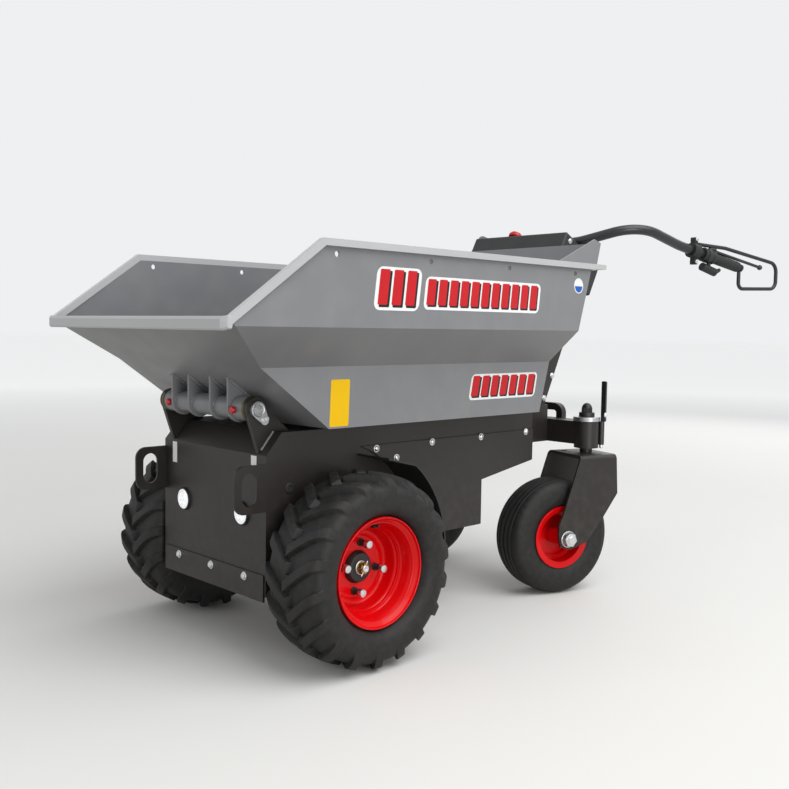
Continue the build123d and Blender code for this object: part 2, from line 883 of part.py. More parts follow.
def skip_side():
    """Left side of the skip: one sheet bent twice, with its row of drain holes."""
    wall = prism_y(sheet(side_run, skip_t), lip_y - 20, back_top_y + 20)
    wall &= prism_x(skip_run + [rim_run[1]], 0, 500)
    wall -= prism_x(sheet(rim_run, -rim_h), 0, 500)
    for y in (-115, 145, 405, 662):
        wall -= bar_x(6, top_half - 20, top_half + 20, y, skip_top - 28)
    return wall


def skip_sheets():
    """Chute, floor and back of the skip, set between its sides."""
    room = between_sides()
    p = skip_run
    q = offset_line(skip_run, skip_t)
    chute = prism_x([p[0], p[1], q[1], q[0]], -500, 500) & room
    floor = prism_x([p[1], p[2], q[2], q[1]], -500, 500) & room
    back = prism_x([p[2], p[3], p[4], q[4], q[3], q[2]], -500, 500) & room
    for edge in (rim_side(), other_side(rim_side())):
        chute -= edge
        back -= edge
    chute = (chute - lip_bar()).solids().sort_by(SortBy.VOLUME)[-1]
    y, z = ram_head
    for side in (-1, 1):
        a = side * ram_lug_in
        b = side * (ram_lug_in + ram_lug_t)
        lug = block(min(a, b), max(a, b), y - ram_lug_r, y + ram_lug_r, z, skip_floor_z)
        floor += lug + bar_x(ram_lug_r, min(a, b), max(a, b), y, z)
    floor -= bar_x(ram_pin_r, -50, 50, y, z)
    return chute, floor, back


def rim_side():
    """Left edge of the skip: up from the lip and along the top."""
    return prism_x(sheet(rim_run, -rim_h), rim_in, rim_out)


def rim_back():
    """Rear flange of the rim."""
    z0 = skip_top - rim_h
    return block(-rim_out, rim_out, back_top_y, back_top_y + rim_reach, z0 + 2, skip_top)


def lip_bar():
    """Folded hem along the chute's lip."""
    front = lip_y - hem_front
    outline = [
        (front + 3, lip_z + 3.5),
        (front, lip_z - 2),
        (front, lip_z - hem_drop + 3),
        (front + 3, lip_z - hem_drop),
        (front + 12, lip_z - hem_drop),
        (lip_y + 10, lip_z + 3.5),
    ]
    return prism_x(outline, -rim_in, rim_in)


def splash_guard():
    """Leaning plate on the rear flange, with a gusset along each side."""
    half = top_half
    foot = (guard_y, skip_top)
    head = (guard_y + guard_lean, guard_z)
    back = (head[0] - guard_t, guard_z)
    guard = prism_x([foot, head, back, (foot[0] - guard_t, skip_top)], -half, half)
    gusset = [(gusset_y, skip_top), (back_fold_y + 66, gusset_z), head, foot]
    left = prism_x(gusset, half - guard_t, half)
    return guard + left + other_side(left)


def hinge_bracket():
    """Four ribs, the sleeve and the end bosses that turn on the hinge pin."""
    slope = (lip_z - skip_floor_z) / (skip_floor_front - lip_y)
    front = hinge_y - rib_r
    rear = hinge_y + rib_r
    outline = [
        (front, hinge_z),
        (rear, hinge_z),
        (rear, lip_z - (rear - lip_y) * slope),
        (front, lip_z - (front - lip_y) * slope),
    ]
    part = bar_x(sleeve_r, rib_x[0], rib_x[-1], hinge_y, hinge_z)
    for x in rib_x:
        part += prism_x(outline, x - rib_t / 2, x + rib_t / 2)
        part += bar_x(rib_r, x - rib_t / 2, x + rib_t / 2, hinge_y, hinge_z)
    for side in (-1, 1):
        a = side * rib_x[-1]
        b = side * boss_end
        part += bar_x(boss_r, min(a, b), max(a, b), hinge_y, hinge_z)
    return part - bar_x(pin_r + running_gap, -200, 200, hinge_y, hinge_z)


# ---------------------------------------------------------------- lifting ram
def ram_direction():
    """Unit vector in (y, z) from the ram's foot to its head."""
    dy = ram_head[0] - ram_foot[0]
    dz = ram_head[1] - ram_foot[1]
    size = sqrt(dy * dy + dz * dz)
    return dy / size, dz / size


def ram_barrel_part():
    """Ram barrel with its foot eye."""
    dy, dz = ram_direction()
    y, z = ram_foot
    tube = rod(ram_r, (0, y + 8 * dy, z + 8 * dz), (0, y + ram_barrel * dy, z + ram_barrel * dz))
    tube += bar_x(ram_lug_r + 4, -ram_lug_in + 5, ram_lug_in - 5, y, z)
    far = ram_barrel + 5
    tube -= rod(ram_rod_r + running_gap, (0, y + 28 * dy, z + 28 * dz), (0, y + far * dy, z + far * dz))
    return tube - bar_x(ram_pin_r + running_gap, -50, 50, y, z)


def ram_rod_part():
    """Ram rod with its head eye."""
    dy, dz = ram_direction()
    y, z = ram_head
    bar = rod(ram_rod_r, (0, y - ram_rod * dy, z - ram_rod * dz), (0, y - 6 * dy, z - 6 * dz))
    bar += bar_x(12, -ram_lug_in + 5, ram_lug_in - 5, y, z)
    return bar


# ---------------------------------------------------------------- the machine
def machine():
    """All pieces of the machine by name."""
    chute, floor, back = skip_sheets()
    parts = {
        "front_plate": front_plate(),
        "skid_plate": skid_plate(),
        "deck_plate": deck_plate(),
        "belly_pan": belly_pan(),
        "axle_housing": axle_housing(),
        "hinge_pin": hinge_pin(),
        "rear_frame": rear_frame(),
        "tow_hitch": tow_hitch(),
        "column": column(),
        "console": console(),
        "stop_button": stop_button(),
        "handlebar": handlebar(),
        "skip_chute": chute,
        "skip_floor": floor,
        "skip_back": back,
        "rim_back": rim_back(),
        "lip_bar": lip_bar(),
        "splash_guard": splash_guard(),
        "hinge_bracket": hinge_bracket(),
        "ram_barrel": ram_barrel_part(),
        "ram_rod": ram_rod_part(),
    }
    pairs = {
        "side_plate": side_plate(),
        "skirt": skirt(),
        "mudguard": mudguard(),
        "hinge_ear": hinge_ear(),
        "lamp": lamp(),
        "battery": battery(),
        "rest_pad": rest_pad(),
        "lock_pin": lock_pin(),
        "grip": grip(),
        "brake_lever": brake_lever(),
        "hand_guard": hand_guard(),
        "skip_side": skip_side(),
        "rim_side": rim_side(),
        "tyre": tyre(),
        "wheel_rim": wheel_rim(),
    }
    for name, solid in pairs.items():
        parts[name + "_left"] = solid
        parts[name + "_right"] = other_side(solid)
    casters = {"fork": fork(), "caster_tyre": caster_tyre(), "caster_rim": caster_rim()}
    for name, solid in casters.items():
        parts[name + "_left"] = caster_place(solid, 1)
        parts[name + "_right"] = caster_place(solid, -1)
    return parts


os.makedirs("parts", exist_ok=True)
for name, solid in machine().items():
    export_step(Pos(0, -centre_y, 0) * solid, f"parts/{name}.step")
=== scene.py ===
# %% [markdown]
# # A walk-behind site dumper
# The machine comes as a frame of solids, where every plate, tube and wheel has its size and its place.
# This lesson gives each surface the finish of the real one, adds the small things that solids leave out,
# and lights the machine in a plain pale studio.

# %% Load the frame
import json
import math

import bmesh
import bpy
import numpy as np
from mathutils import Matrix, Vector


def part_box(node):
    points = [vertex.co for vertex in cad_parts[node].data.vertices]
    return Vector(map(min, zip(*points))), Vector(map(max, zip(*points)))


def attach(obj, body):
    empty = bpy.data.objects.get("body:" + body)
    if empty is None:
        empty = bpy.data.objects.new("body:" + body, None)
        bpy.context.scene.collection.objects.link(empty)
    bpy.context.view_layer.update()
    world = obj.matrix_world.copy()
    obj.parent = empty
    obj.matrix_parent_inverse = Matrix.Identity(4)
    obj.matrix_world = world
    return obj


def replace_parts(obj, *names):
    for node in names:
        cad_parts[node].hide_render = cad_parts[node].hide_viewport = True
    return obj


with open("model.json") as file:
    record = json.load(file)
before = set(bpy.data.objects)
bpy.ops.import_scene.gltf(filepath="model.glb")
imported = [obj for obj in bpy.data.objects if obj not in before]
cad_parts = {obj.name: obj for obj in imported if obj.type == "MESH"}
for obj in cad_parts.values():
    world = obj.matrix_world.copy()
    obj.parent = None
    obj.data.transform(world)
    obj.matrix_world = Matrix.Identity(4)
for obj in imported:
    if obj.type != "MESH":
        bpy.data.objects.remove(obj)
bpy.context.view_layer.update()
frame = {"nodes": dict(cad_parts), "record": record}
NODES = frame["nodes"]
JOINTS = {joint["name"]: joint for joint in frame["record"]["behaviour"]["joints"]}

# %% [markdown]
# ## Where things are
# A maker measures this machine from the point on the ground under its front axle: x to its left, y to
# its rear and z up, in millimetres.  The frame uses metres from another point, so one shift, read from
# the drive wheel's joint, turns workshop sizes into places.

# %% Workshop millimetres
MM = 0.001
AXLE = np.array(JOINTS["drive_wheel_left_spin"]["pos_m"]) / MM
FRONT_AXLE = np.array([0.0, AXLE[1], 0.0])
SIDES = (("left", 1), ("right", -1))
X_AXIS, Y_AXIS, Z_AXIS = np.eye(3)


def local(node):
    """Two corners of a node in workshop millimetres."""
    low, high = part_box(node)
    return np.array(low) / MM - FRONT_AXLE, np.array(high) / MM - FRONT_AXLE


TRACK = AXLE[0]
TYRE_R = AXLE[2]
print("track half", round(TRACK), "mm, tyre radius", round(TYRE_R), "mm")

# %% [markdown]
# ## Colours and shader nodes
# Colours are written as sRGB hex values, as on a paint chart.  Shaders work in linear light, so one
# function turns them.  A second one adds a shader node with its settings and its links in one line.


# %% Colour and node helpers
def linear(code):
    """sRGB hex such as '#77797d' to linear RGBA: c/12.92 below 0.04045, else ((c+0.055)/1.055)^2.4."""
    c = np.array([int(code[i:i + 2], 16) for i in (1, 3, 5)]) / 255.0
    c = np.where(c <= 0.04045, c / 12.92, ((c + 0.055) / 1.055) ** 2.4)
    return (*map(float, c), 1.0)


def add_node(tree, kind, links=None, **settings):
    """One shader node: settings fill its sockets or properties, links join its sockets to outputs."""
    made = tree.nodes.new(kind)
    for key, value in settings.items():
        if hasattr(made, key):
            setattr(made, key, value)
        else:
            made.inputs[key.replace("_", " ")].default_value = value
    for key, source in (links or {}).items():
        tree.links.new(source, made.inputs[key])
    return made


# %% [markdown]
# ## One shader for every finish
# Enamel, powder coat, rubber and plating are one shader with other numbers: two tints, a roughness and a
# grain.  An image texture would tie each plate to a layout; noise in the machine's own space needs
# none.  The grain of real powder is near 0.3 mm and is drawn a few times coarser, so that it still shows.

# %% Coatings
CLOUD_DETAIL, GRAIN_DETAIL = 4.0, 2.0
GRAIN_STRENGTH = 0.6


def coated(name, colour, other, roughness, spot_mm, grain_mm, relief_mm, gloss_swing=0.08, **sockets):
    """A finish with two soft tints and a fine grain.

    Cloudy noise of spot_mm mixes the two tints and moves the roughness by gloss_swing; a finer noise
    of grain_mm lifts the surface by relief_mm.  A noise of scale s repeats about every 1/s metres.
    """
    mat = bpy.data.materials.new(name)
    mat.use_nodes = True
    tree = mat.node_tree
    shader = tree.nodes["Principled BSDF"]
    place = add_node(tree, "ShaderNodeTexCoord").outputs["Object"]
    cloud = add_node(tree, "ShaderNodeTexNoise", {"Vector": place},
                     Scale=1 / (spot_mm * MM), Detail=CLOUD_DETAIL)
    tint = add_node(tree, "ShaderNodeMix", {"Factor": cloud.outputs["Fac"]}, data_type="RGBA")
    tint.inputs[6].default_value = linear(colour)
    tint.inputs[7].default_value = linear(other)
    tree.links.new(tint.outputs[2], shader.inputs["Base Color"])
    gloss = add_node(tree, "ShaderNodeMapRange", {"Value": cloud.outputs["Fac"]},
                     To_Min=roughness - gloss_swing, To_Max=roughness + gloss_swing)
    tree.links.new(gloss.outputs["Result"], shader.inputs["Roughness"])
    grain = add_node(tree, "ShaderNodeTexNoise", {"Vector": place},
                     Scale=1 / (grain_mm * MM), Detail=GRAIN_DETAIL)
    bump = add_node(tree, "ShaderNodeBump", {"Height": grain.outputs["Fac"]}, Strength=GRAIN_STRENGTH)
    bump.inputs["Distance"].default_value = relief_mm * MM
    tree.links.new(bump.outputs["Normal"], shader.inputs["Normal"])
    for key, value in sockets.items():
        shader.inputs[key.replace("_", " ")].default_value = value
    return mat


# %% Dust
DUST_DETAIL = 8.0
DUST_STARTS, DUST_FULL = 0.42, 0.72
DUST_ROUGHNESS = 0.9


def soil(mat, colour, spot_mm, cover, low_mm=None, high_mm=None):
    """Dust over a finish: a steep ramp of noise, times cover, times a fall from low_mm to high_mm.

    Dust is dull, so the roughness rises with it.
    """
    tree = mat.node_tree
    shader = tree.nodes["Principled BSDF"]
    place = add_node(tree, "ShaderNodeTexCoord").outputs["Object"]
    patch = add_node(tree, "ShaderNodeTexNoise", {"Vector": place},
                     Scale=1 / (spot_mm * MM), Detail=DUST_DETAIL)
    share = add_node(tree, "ShaderNodeMapRange", {"Value": patch.outputs["Fac"]},
                     From_Min=DUST_STARTS, From_Max=DUST_FULL, To_Max=cover)
    amount = share.outputs["Result"]
    if high_mm is not None:
        height = add_node(tree, "ShaderNodeSeparateXYZ", {"Vector": place}).outputs["Z"]
        fall = add_node(tree, "ShaderNodeMapRange", {"Value": height},
                        From_Min=low_mm * MM, From_Max=high_mm * MM, To_Min=1.0, To_Max=0.0).outputs["Result"]
        amount = add_node(tree, "ShaderNodeMath", {0: amount, 1: fall}, operation="MULTIPLY").outputs[0]
    clean = shader.inputs["Base Color"].links[0].from_socket
    tint = add_node(tree, "ShaderNodeMix", {0: amount, 6: clean}, data_type="RGBA")
    tint.inputs[7].default_value = linear(colour)
    tree.links.new(tint.outputs[2], shader.inputs["Base Color"])
    glossy = shader.inputs["Roughness"].links[0].from_socket
    dull = add_node(tree, "ShaderNodeMix", {0: amount, 2: glossy}, data_type="FLOAT")
    dull.inputs[3].default_value = DUST_ROUGHNESS
    tree.links.new(dull.outputs[0], shader.inputs["Roughness"])
    return mat


# %% [markdown]
# ## Paints, rubbers and plastics
# The skip is enamelled, the chassis powder coated and the rims sprayed.  The eye tells them apart by
# gloss and grain more than by colour, so those were chosen first.

# %% Paints
# Stoved enamel on sheet steel: an even half-gloss, a faint orange peel, and patches of settled dust.
skip_enamel = coated("satin_grey_enamel", "#76777a", "#7e7f82", 0.33, 400, 2.5, 0.03, 0.05)
skip_enamel = soil(skip_enamel, "#96958f", 60, 0.16)
# The same enamel on rolled edges, painted paler: a painted highlight for the sky's light on rims and lip.
highlit_edge_enamel = coated("satin_grey_enamel_with_painted_edge_highlight", "#aeb0b1", "#b8babb", 0.3, 300, 2.5, 0.03, 0.05)
# Powder coat: a thick skin with a fine pebble, broad dull highlights and a warm near-black.  Dry soil
# clings to it low down and thins out towards the deck.
chassis_coat = coated("anthracite_powder_coat", "#282321", "#221f1d", 0.44, 160, 1.6, 0.06,
                      Specular_IOR_Level=0.4)
chassis_coat = soil(chassis_coat, "#625c54", 25, 0.2, 140, 420)
# The same coat in plain black on guards, bezels and caps.
black_coat = coated("black_powder_coat", "#1d1c1c", "#161515", 0.42, 120, 1.6, 0.06)
# Bent tube is coated thinner and smoother, so a long highlight runs along it.
tube_coat = coated("black_satin_tube_coat", "#242527", "#1b1b1d", 0.33, 90, 2.0, 0.04)
# Sprayed wheel enamel: a deep saturated red under a thin clear coat.
wheel_enamel = coated("red_wheel_enamel", "#dc040b", "#cd0309", 0.3, 90, 3.0, 0.03, 0.04,
                      Coat_Weight=0.12, Coat_Roughness=0.08, Specular_IOR_Level=0.2)

# %% Rubbers and plastics
# Vulcanised tyre rubber, filled with carbon black: almost no gloss, browner where earth stays on it.
tyre_rubber = coated("carbon_black_tyre_rubber", "#1b1a1a", "#141414", 0.58, 60, 1.2, 0.12, 0.08,
                     Specular_IOR_Level=0.35)
tyre_rubber = soil(tyre_rubber, "#48433d", 14, 0.22)
# Moulded grip rubber: softer, duller and finer than a tyre.
grip_rubber = coated("moulded_grip_rubber", "#1b1b1c", "#131314", 0.62, 12, 0.8, 0.08)
# Injection-moulded ABS with a spark-eroded texture: an even grey-black sheen.
case_plastic = coated("textured_black_abs", "#262626", "#1c1c1d", 0.5, 60, 0.9, 0.08)
# Smooth moulded nylon: a bright signal red with a soft highlight.
red_plastic = coated("red_moulded_nylon", "#c8141c", "#b01018", 0.3, 10, 1.0, 0.03)
# Hot-blackened steel, oiled and uneven.
soot = coated("blackened_steel", "#171717", "#242322", 0.5, 8, 1.0, 0.1)
# Rough sand castings under paint.
cast_iron = coated("painted_cast_iron", "#2a2928", "#1f1e1e", 0.6, 20, 2.2, 0.2)

# %% [markdown]
# ## Metals
# Fasteners are zinc plated, the hinge's bushes are bronze and the hub nut is yellow passivated.  Metals
# keep metallic at 1 and take their look from their roughness and from what they mirror.

# %% Bare and plated metals
# Bright electroplated zinc on turned heads and washers.
zinc = coated("zinc_plated_steel", "#e2e3e4", "#c4c5c6", 0.32, 6, 0.8, 0.03, 0.1, Metallic=1.0)
# Barrel-tumbled parts: the same zinc, bruised and cloudy.
cast_zinc = coated("tumbled_zinc_plate", "#c6c8c8", "#9a9c9c", 0.42, 9, 0.9, 0.05, 0.1, Metallic=1.0)
# Bearing bronze under old grease: dark and olive.
bronze = coated("greased_bronze", "#6b6448", "#4c4833", 0.38, 10, 1.0, 0.04, 0.08, Metallic=1.0)
# Yellow chromate over zinc: a patchy straw colour.
brass = coated("yellow_passivated_steel", "#b98f4e", "#8a6a3a", 0.35, 5, 0.8, 0.04, 0.1, Metallic=1.0)
# Bare weld metal, brushed: grey ripples with sooty gaps, so it isn't quite all metal.
weld_metal = coated("brushed_weld_bead", "#a9a8a4", "#5d5b56", 0.45, 4, 1.2, 0.25, 0.1, Metallic=0.9)
# Ground steel on the ram's rod, painted dark grey: painted shade for the shade under the skip.
rod_steel_painted_shade = coated("rod_steel_painted_shade", "#3d3e41", "#323335", 0.35, 30, 1.0, 0.02, 0.06, Metallic=1.0)
# Hard chrome mirrors its surroundings almost sharply.
chrome = coated("hard_chrome_rod", "#d4d5d7", "#c6c7c9", 0.12, 80, 3.0, 0.01, 0.03, Metallic=1.0)

# %% Films and lamps
# Calendered vinyl film: flat even colours, half-gloss, almost no grain.
FILM = {"Specular_IOR_Level": 0.25}
white_vinyl = coated("white_vinyl_film", "#eceded", "#e2e3e3", 0.35, 60, 3.0, 0.01, 0.04, **FILM)
red_vinyl = coated("red_vinyl_film", "#c81e26", "#b8181f", 0.32, 60, 3.0, 0.01, 0.04, **FILM)
black_vinyl = coated("black_vinyl_film", "#191919", "#202020", 0.32, 60, 3.0, 0.01, 0.04, **FILM)
yellow_vinyl = coated("yellow_vinyl_film", "#eec004", "#e9b702", 0.35, 60, 3.0, 0.01, 0.04, **FILM)
blue_vinyl = coated("blue_vinyl_film", "#1f5fc0", "#1a54ac", 0.3, 60, 3.0, 0.01, 0.04, **FILM)
# Frosted polycarbonate over lit diodes: white, glossy outside, and glowing a little.
lens = coated("frosted_lamp_lens", "#f3f5f7", "#e9edf0", 0.2, 20, 4.0, 0.02, 0.05, Coat_Weight=1.0)
LENS_GLOW = 0.35
lens_shader = lens.node_tree.nodes["Principled BSDF"]
lens_shader.inputs["Emission Color"].default_value = linear("#ffffff")
lens_shader.inputs["Emission Strength"].default_value = LENS_GLOW

# %% [markdown]
# ## Which plate gets which finish
# Every solid of the frame names a slot, such as frame_paint.  A table gives each slot its finish, and a
# few bent tubes, whose slot is broader than their look, get their own; the ram's rod gets painted shade.

# %% Finishes on the frame
FINISH = {
    "skip_paint": skip_enamel,
    # The rims take the paler edge enamel: a painted highlight.
    "rim_paint": highlit_edge_enamel,
    "frame_paint": chassis_coat,
    "guard_paint": black_coat,
    "wheel_paint": wheel_enamel,
    "tyre": tyre_rubber,
    "steel": cast_zinc,
    "chrome": chrome,
    "iron": cast_iron,
    "console_plastic": case_plastic,
    "stop_red": red_plastic,
    "grip_rubber": grip_rubber,
    "lamp_lens": lens,
    "battery_case": case_plastic,
}
for part in frame["record"]["subparts"]:
    coats = NODES[part["node"]].data.materials
    coats.clear()
    coats.append(FINISH[part["material_slot"]])
for node in ("handlebar", "lock_pin_left", "lock_pin_right", "brake_lever_left", "brake_lever_right"):
    NODES[node].data.materials[0] = tube_coat
# The ram's rod is painted dark: painted shade.
NODES["ram_rod"].data.materials[0] = rod_steel_painted_shade
print("finishes:", len(bpy.data.materials))

# %% [markdown]
# ## From numbers to meshes
# Each new piece is a surface over a grid of points.  It could be made by hand with extrude and spin, but
# a formula is shorter, exact and easy to change.  `make_piece` joins neighbouring points of its grids
# into four-sided faces, merges the points at poles, turns all faces outwards, and prints the piece.
# Three helpers lay out grids: lathe for turned forms, slab for flat plates and tube for beads and rods.


# %% Grids and pieces
def grid_faces(rows, cols, wrap_rows, first):
    """Faces between each grid point and the next row and column."""
    r, c = np.meshgrid(np.arange(rows if wrap_rows else rows - 1), np.arange(cols), indexing="ij")
    r1, c1 = (r + 1) % rows, (c + 1) % cols
    corners = [r * cols + c, r * cols + c1, r1 * cols + c1, r1 * cols + c]
    return first + np.stack(corners, axis=-1).reshape(-1, 4)


MERGE_M, SLIVER_M = 2e-6, 1e-7


def make_piece(name, grids, finish, body, smooth=32.0, ring=False):
    """One mesh from grids of points in workshop millimetres.

    A grid's columns always close on themselves; ring closes the rows as well.  Edges that turn by more
    than smooth degrees stay sharp.  The piece rides on body and takes finish.
    """
    points, faces, count = [], [], 0
    for grid in grids:
        rows, cols = grid.shape[:2]
        faces.append(grid_faces(rows, cols, ring, count))
        points.append(grid.reshape(-1, 3))
        count += rows * cols
    places = (np.concatenate(points) + FRONT_AXLE) * MM
    mesh = bpy.data.meshes.new(name)
    mesh.from_pydata(places.tolist(), [], np.concatenate(faces).tolist())
    work = bmesh.new()
    work.from_mesh(mesh)
    bmesh.ops.remove_doubles(work, verts=work.verts, dist=MERGE_M)
    bmesh.ops.dissolve_degenerate(work, edges=work.edges, dist=SLIVER_M)
    bmesh.ops.recalc_face_normals(work, faces=work.faces)
    work.to_mesh(mesh)
    work.free()
    mesh.shade_smooth()
    mesh.set_sharp_from_angle(angle=math.radians(smooth))
    mesh.materials.append(finish)
    piece = bpy.data.objects.new(name, mesh)
    bpy.context.collection.objects.link(piece)
    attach(piece, body)
    print(name, "on", body, "with", len(mesh.polygons), "faces")
    return piece


# %% Turned forms
def cross_axes(axis):
    """Two unit vectors square to axis and to each other."""
    axis = np.asarray(axis, float) / np.linalg.norm(axis)
    helper = X_AXIS if abs(axis[0]) < 0.9 else Y_AXIS
    u = np.cross(axis, helper)
    u /= np.linalg.norm(u)
    return axis, u, np.cross(axis, u)


def lathe(profile, centre, axis, sides=40, turn=0.0):
    """Turned form: each (along, radius) of the profile becomes a ring of points round the axis.

    point = centre + along * axis + radius * (cos a * u + sin a * v); six sides make nuts and heads.
    """
    axis, u, v = cross_axes(axis)
    along, radius = np.array(profile, float).T
    a = np.arange(sides) * 2 * np.pi / sides + turn
    ring = np.cos(a)[:, None] * u + np.sin(a)[:, None] * v
    return np.asarray(centre, float) + along[:, None, None] * axis + radius[:, None, None] * ring


# %% Slabs and tubes
def slab(outline, thick):
    """Flat plate: the outline, its copy moved by thick, and a middle point that closes each face."""
    outline = np.asarray(outline, float)
    middle = np.broadcast_to(outline.mean(axis=0), outline.shape)
    return np.stack([middle, outline, outline + thick, middle + thick])


def tube(path, radius, sides=12):
    """Round bead: a circle square to the path at each of its points, and a point at each end."""
    path = np.asarray(path, float)
    run = np.gradient(path, axis=0)
    run /= np.linalg.norm(run, axis=1)[:, None]
    helper = X_AXIS if abs(run[:, 0]).max() < 0.9 else Z_AXIS
    u = np.cross(run, helper)
    u /= np.linalg.norm(u, axis=1)[:, None]
    v = np.cross(run, u)
    a = np.arange(sides) * 2 * np.pi / sides
    size = np.broadcast_to(radius, len(path))[:, None, None]
    body = path[:, None] + size * (np.cos(a)[:, None] * u[:, None] + np.sin(a)[:, None] * v[:, None])
    ends = [np.broadcast_to(path[i], body[0].shape)[None] for i in (0, -1)]
    return np.concatenate([ends[0], body, ends[1]])


# %% Bolt heads
def hex_bolt(centre, axis, across=13.0, high=5.5, washer=9.0, turn=0.3):
    """A washer and a six-sided head with a turned crown, both on the face that axis leaves."""
    r = across / math.sqrt(3)
    flat = [(-1, 0), (-1, washer), (1.2, washer), (1.6, washer - 0.5), (1.6, 0)]
    head = [(1.4, 0), (1.4, r), (high - 0.8, r), (high + 0.2, r * 0.84), (high + 0.4, r * 0.5),
            (high + 0.4, 0)]
    return [lathe(flat, centre, axis, 28), lathe(head, centre, axis, 6, turn)]


def button_bolt(centre, axis, r=6.5, high=4.5):
    """A domed socket screw on a thin washer, with the socket sunk in its crown."""
    flat = [(-1, 0), (-1, r + 2.2), (1.0, r + 2.2), (1.4, r + 1.8), (1.4, 0)]
    dome = [(1.2, 0), (1.2, r), (1.8, r), (high * 0.75, r * 0.85), (high, r * 0.55), (high - 1.6, r * 0.42),
            (high - 1.6, 0)]
    return [lathe(flat, centre, axis, 28), lathe(dome, centre, axis, 24)]


# %% [markdown]
# ## The drive tyres
# A traction tyre carries two rows of slanting lugs, one on each half and half a pitch apart, so that they
# interlock along the middle.  They could be modelled one by one and joined to a ring, but the joint
# would show.  Here the tyre is one surface: a section turned round the axle, lifted along each lug.

# %% Drive tyres
LUGS = 18    # in each of the two rows
LUG_HALF = 11.5
LUG_FLANK = 3.0    # width of a lug's sloping side
LUG_START = -9.0    # where a lug rises, past the tyre's middle
LUG_RISE = 7.0    # and over how long
TYRE_AROUND = 792    # points round the axle
TYRE_ACROSS = 52    # points from the middle to the bead
# offset from the tyre's middle, radius between the lugs, radius on top of a lug; bead last
TYRE_SECTION = np.array([
    (0, 191.0, 203.0), (20, 190.7, 202.7), (36, 190.0, 202.0), (50, 188.5, 200.6), (62, 186.0, 198.0),
    (70, 182.0, 194.2), (76, 177.5, 189.0), (80, 171.0, 181.0), (82.3, 163.0, 170.0), (82.4, 152.0, 153.0),
    (81.0, 142.0, 142.0), (78.0, 133.5, 133.5), (73.0, 127.0, 127.0), (67.0, 122.8, 122.8),
    (61.5, 120.0, 120.0), (58.0, 118.2, 118.2), (55.6, 116.9, 116.9), (53.8, 101.6, 101.6)])
# offset from the tyre's middle, and how far round the lug's middle line has trailed by there
LUG_TRAIL = ([0, 36, 62, 76, 83], [-3, 25, 44, 52, 56])


def ease(value):
    """Smooth step: 3t^2 - 2t^3 of the value held between 0 and 1."""
    t = np.clip(value, 0, 1)
    return t * t * (3 - 2 * t)


def lug_height(x, angle, row):
    """1 on the lugs of one row, 0 between: distance to the slanting middle line, eased over the flank."""
    pitch = 2 * np.pi / LUGS
    trail = np.interp(x, *LUG_TRAIL) / TYRE_R
    off = (angle + trail - row * pitch / 2 + pitch / 2) % pitch - pitch / 2
    flank = ease((LUG_HALF + LUG_FLANK - np.abs(off) * TYRE_R) / LUG_FLANK)
    return flank * ease((x - LUG_START) / LUG_RISE)


def drive_tyre(word, side):
    """Tyre surface: rows run from bead to bead, columns run round the axle.

    radius = low + (top - low) * lug, where lug is the higher of the two rows.  The half section is first
    sampled at even steps along its line.
    """
    steps = np.hypot(*np.diff(TYRE_SECTION[:, :2], axis=0).T)
    run = np.concatenate([[0], np.cumsum(steps)])
    spots = np.linspace(0, run[-1], TYRE_ACROSS)
    half = np.stack([np.interp(spots, run, column) for column in TYRE_SECTION.T], axis=1)
    x, low, top = np.concatenate([half[::-1] * [-1, 1, 1], half[1:]]).T[:, :, None]
    angle = (np.arange(TYRE_AROUND) * 2 * np.pi / TYRE_AROUND)[None, :]
    lug = np.maximum(lug_height(x, angle, 0), lug_height(-x, angle, 1))
    r = low + (top - low) * lug
    grid = np.stack([side * (TRACK + x) + 0 * r, r * np.cos(angle), TYRE_R + r * np.sin(angle)], axis=-1)
    return make_piece("tread_" + word, [grid], tyre_rubber, "drive_wheel_" + word,
                      smooth=36, ring=True)


for word, side in SIDES:
    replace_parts(drive_tyre(word, side), "tyre_" + word)

# %% [markdown]
# ## Caster tyres
# A caster tyre is a rib tyre: straight grooves run round it, so it is the same all the way round and one
# turned profile gives the whole of it.

# %% Caster tyres
# offset from the tyre's middle and radius, from the tread to the bead
CASTER_HALF = [
    (0, 148), (2.4, 148), (3.4, 152.6), (15.5, 152.9), (16.7, 148.3), (20.0, 148.3), (21.2, 152.6),
    (29.5, 151.9), (30.8, 147.6), (33.6, 147.2), (34.8, 150.6), (42, 147.6), (47.5, 143.0), (51.5, 136.5),
    (54.2, 127), (55, 116), (54.8, 106), (53.5, 97), (51, 91.5), (48.5, 87.5), (46.2, 84.4), (43.2, 72.9)]


def wheel_place(joint):
    """Centre and unit axis of a wheel in workshop millimetres, read from its joint."""
    found = JOINTS[joint]
    return np.array(found["pos_m"]) / MM - FRONT_AXLE, np.array(found["axis"], float)


for word, side in SIDES:
    centre, axis = wheel_place(f"caster_wheel_{word}_spin")
    mirror = [(-x, r) for x, r in CASTER_HALF[:0:-1]]
    grid = lathe(mirror + CASTER_HALF, centre, axis, 144)
    ribbed = make_piece("rib_tyre_" + word, [grid], tyre_rubber, "caster_wheel_" + word, 40, True)
    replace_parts(ribbed, "caster_tyre_" + word)

# %% [markdown]
# ## Pressed rims
# A rim is one turned section: a rolled lip, a deep bowl that narrows in steps, and the disc.  A rolled
# strip has small radii at its corners.  A Bevel modifier could make them, but on a turned form it is
# simpler to cut the corners of the section itself.

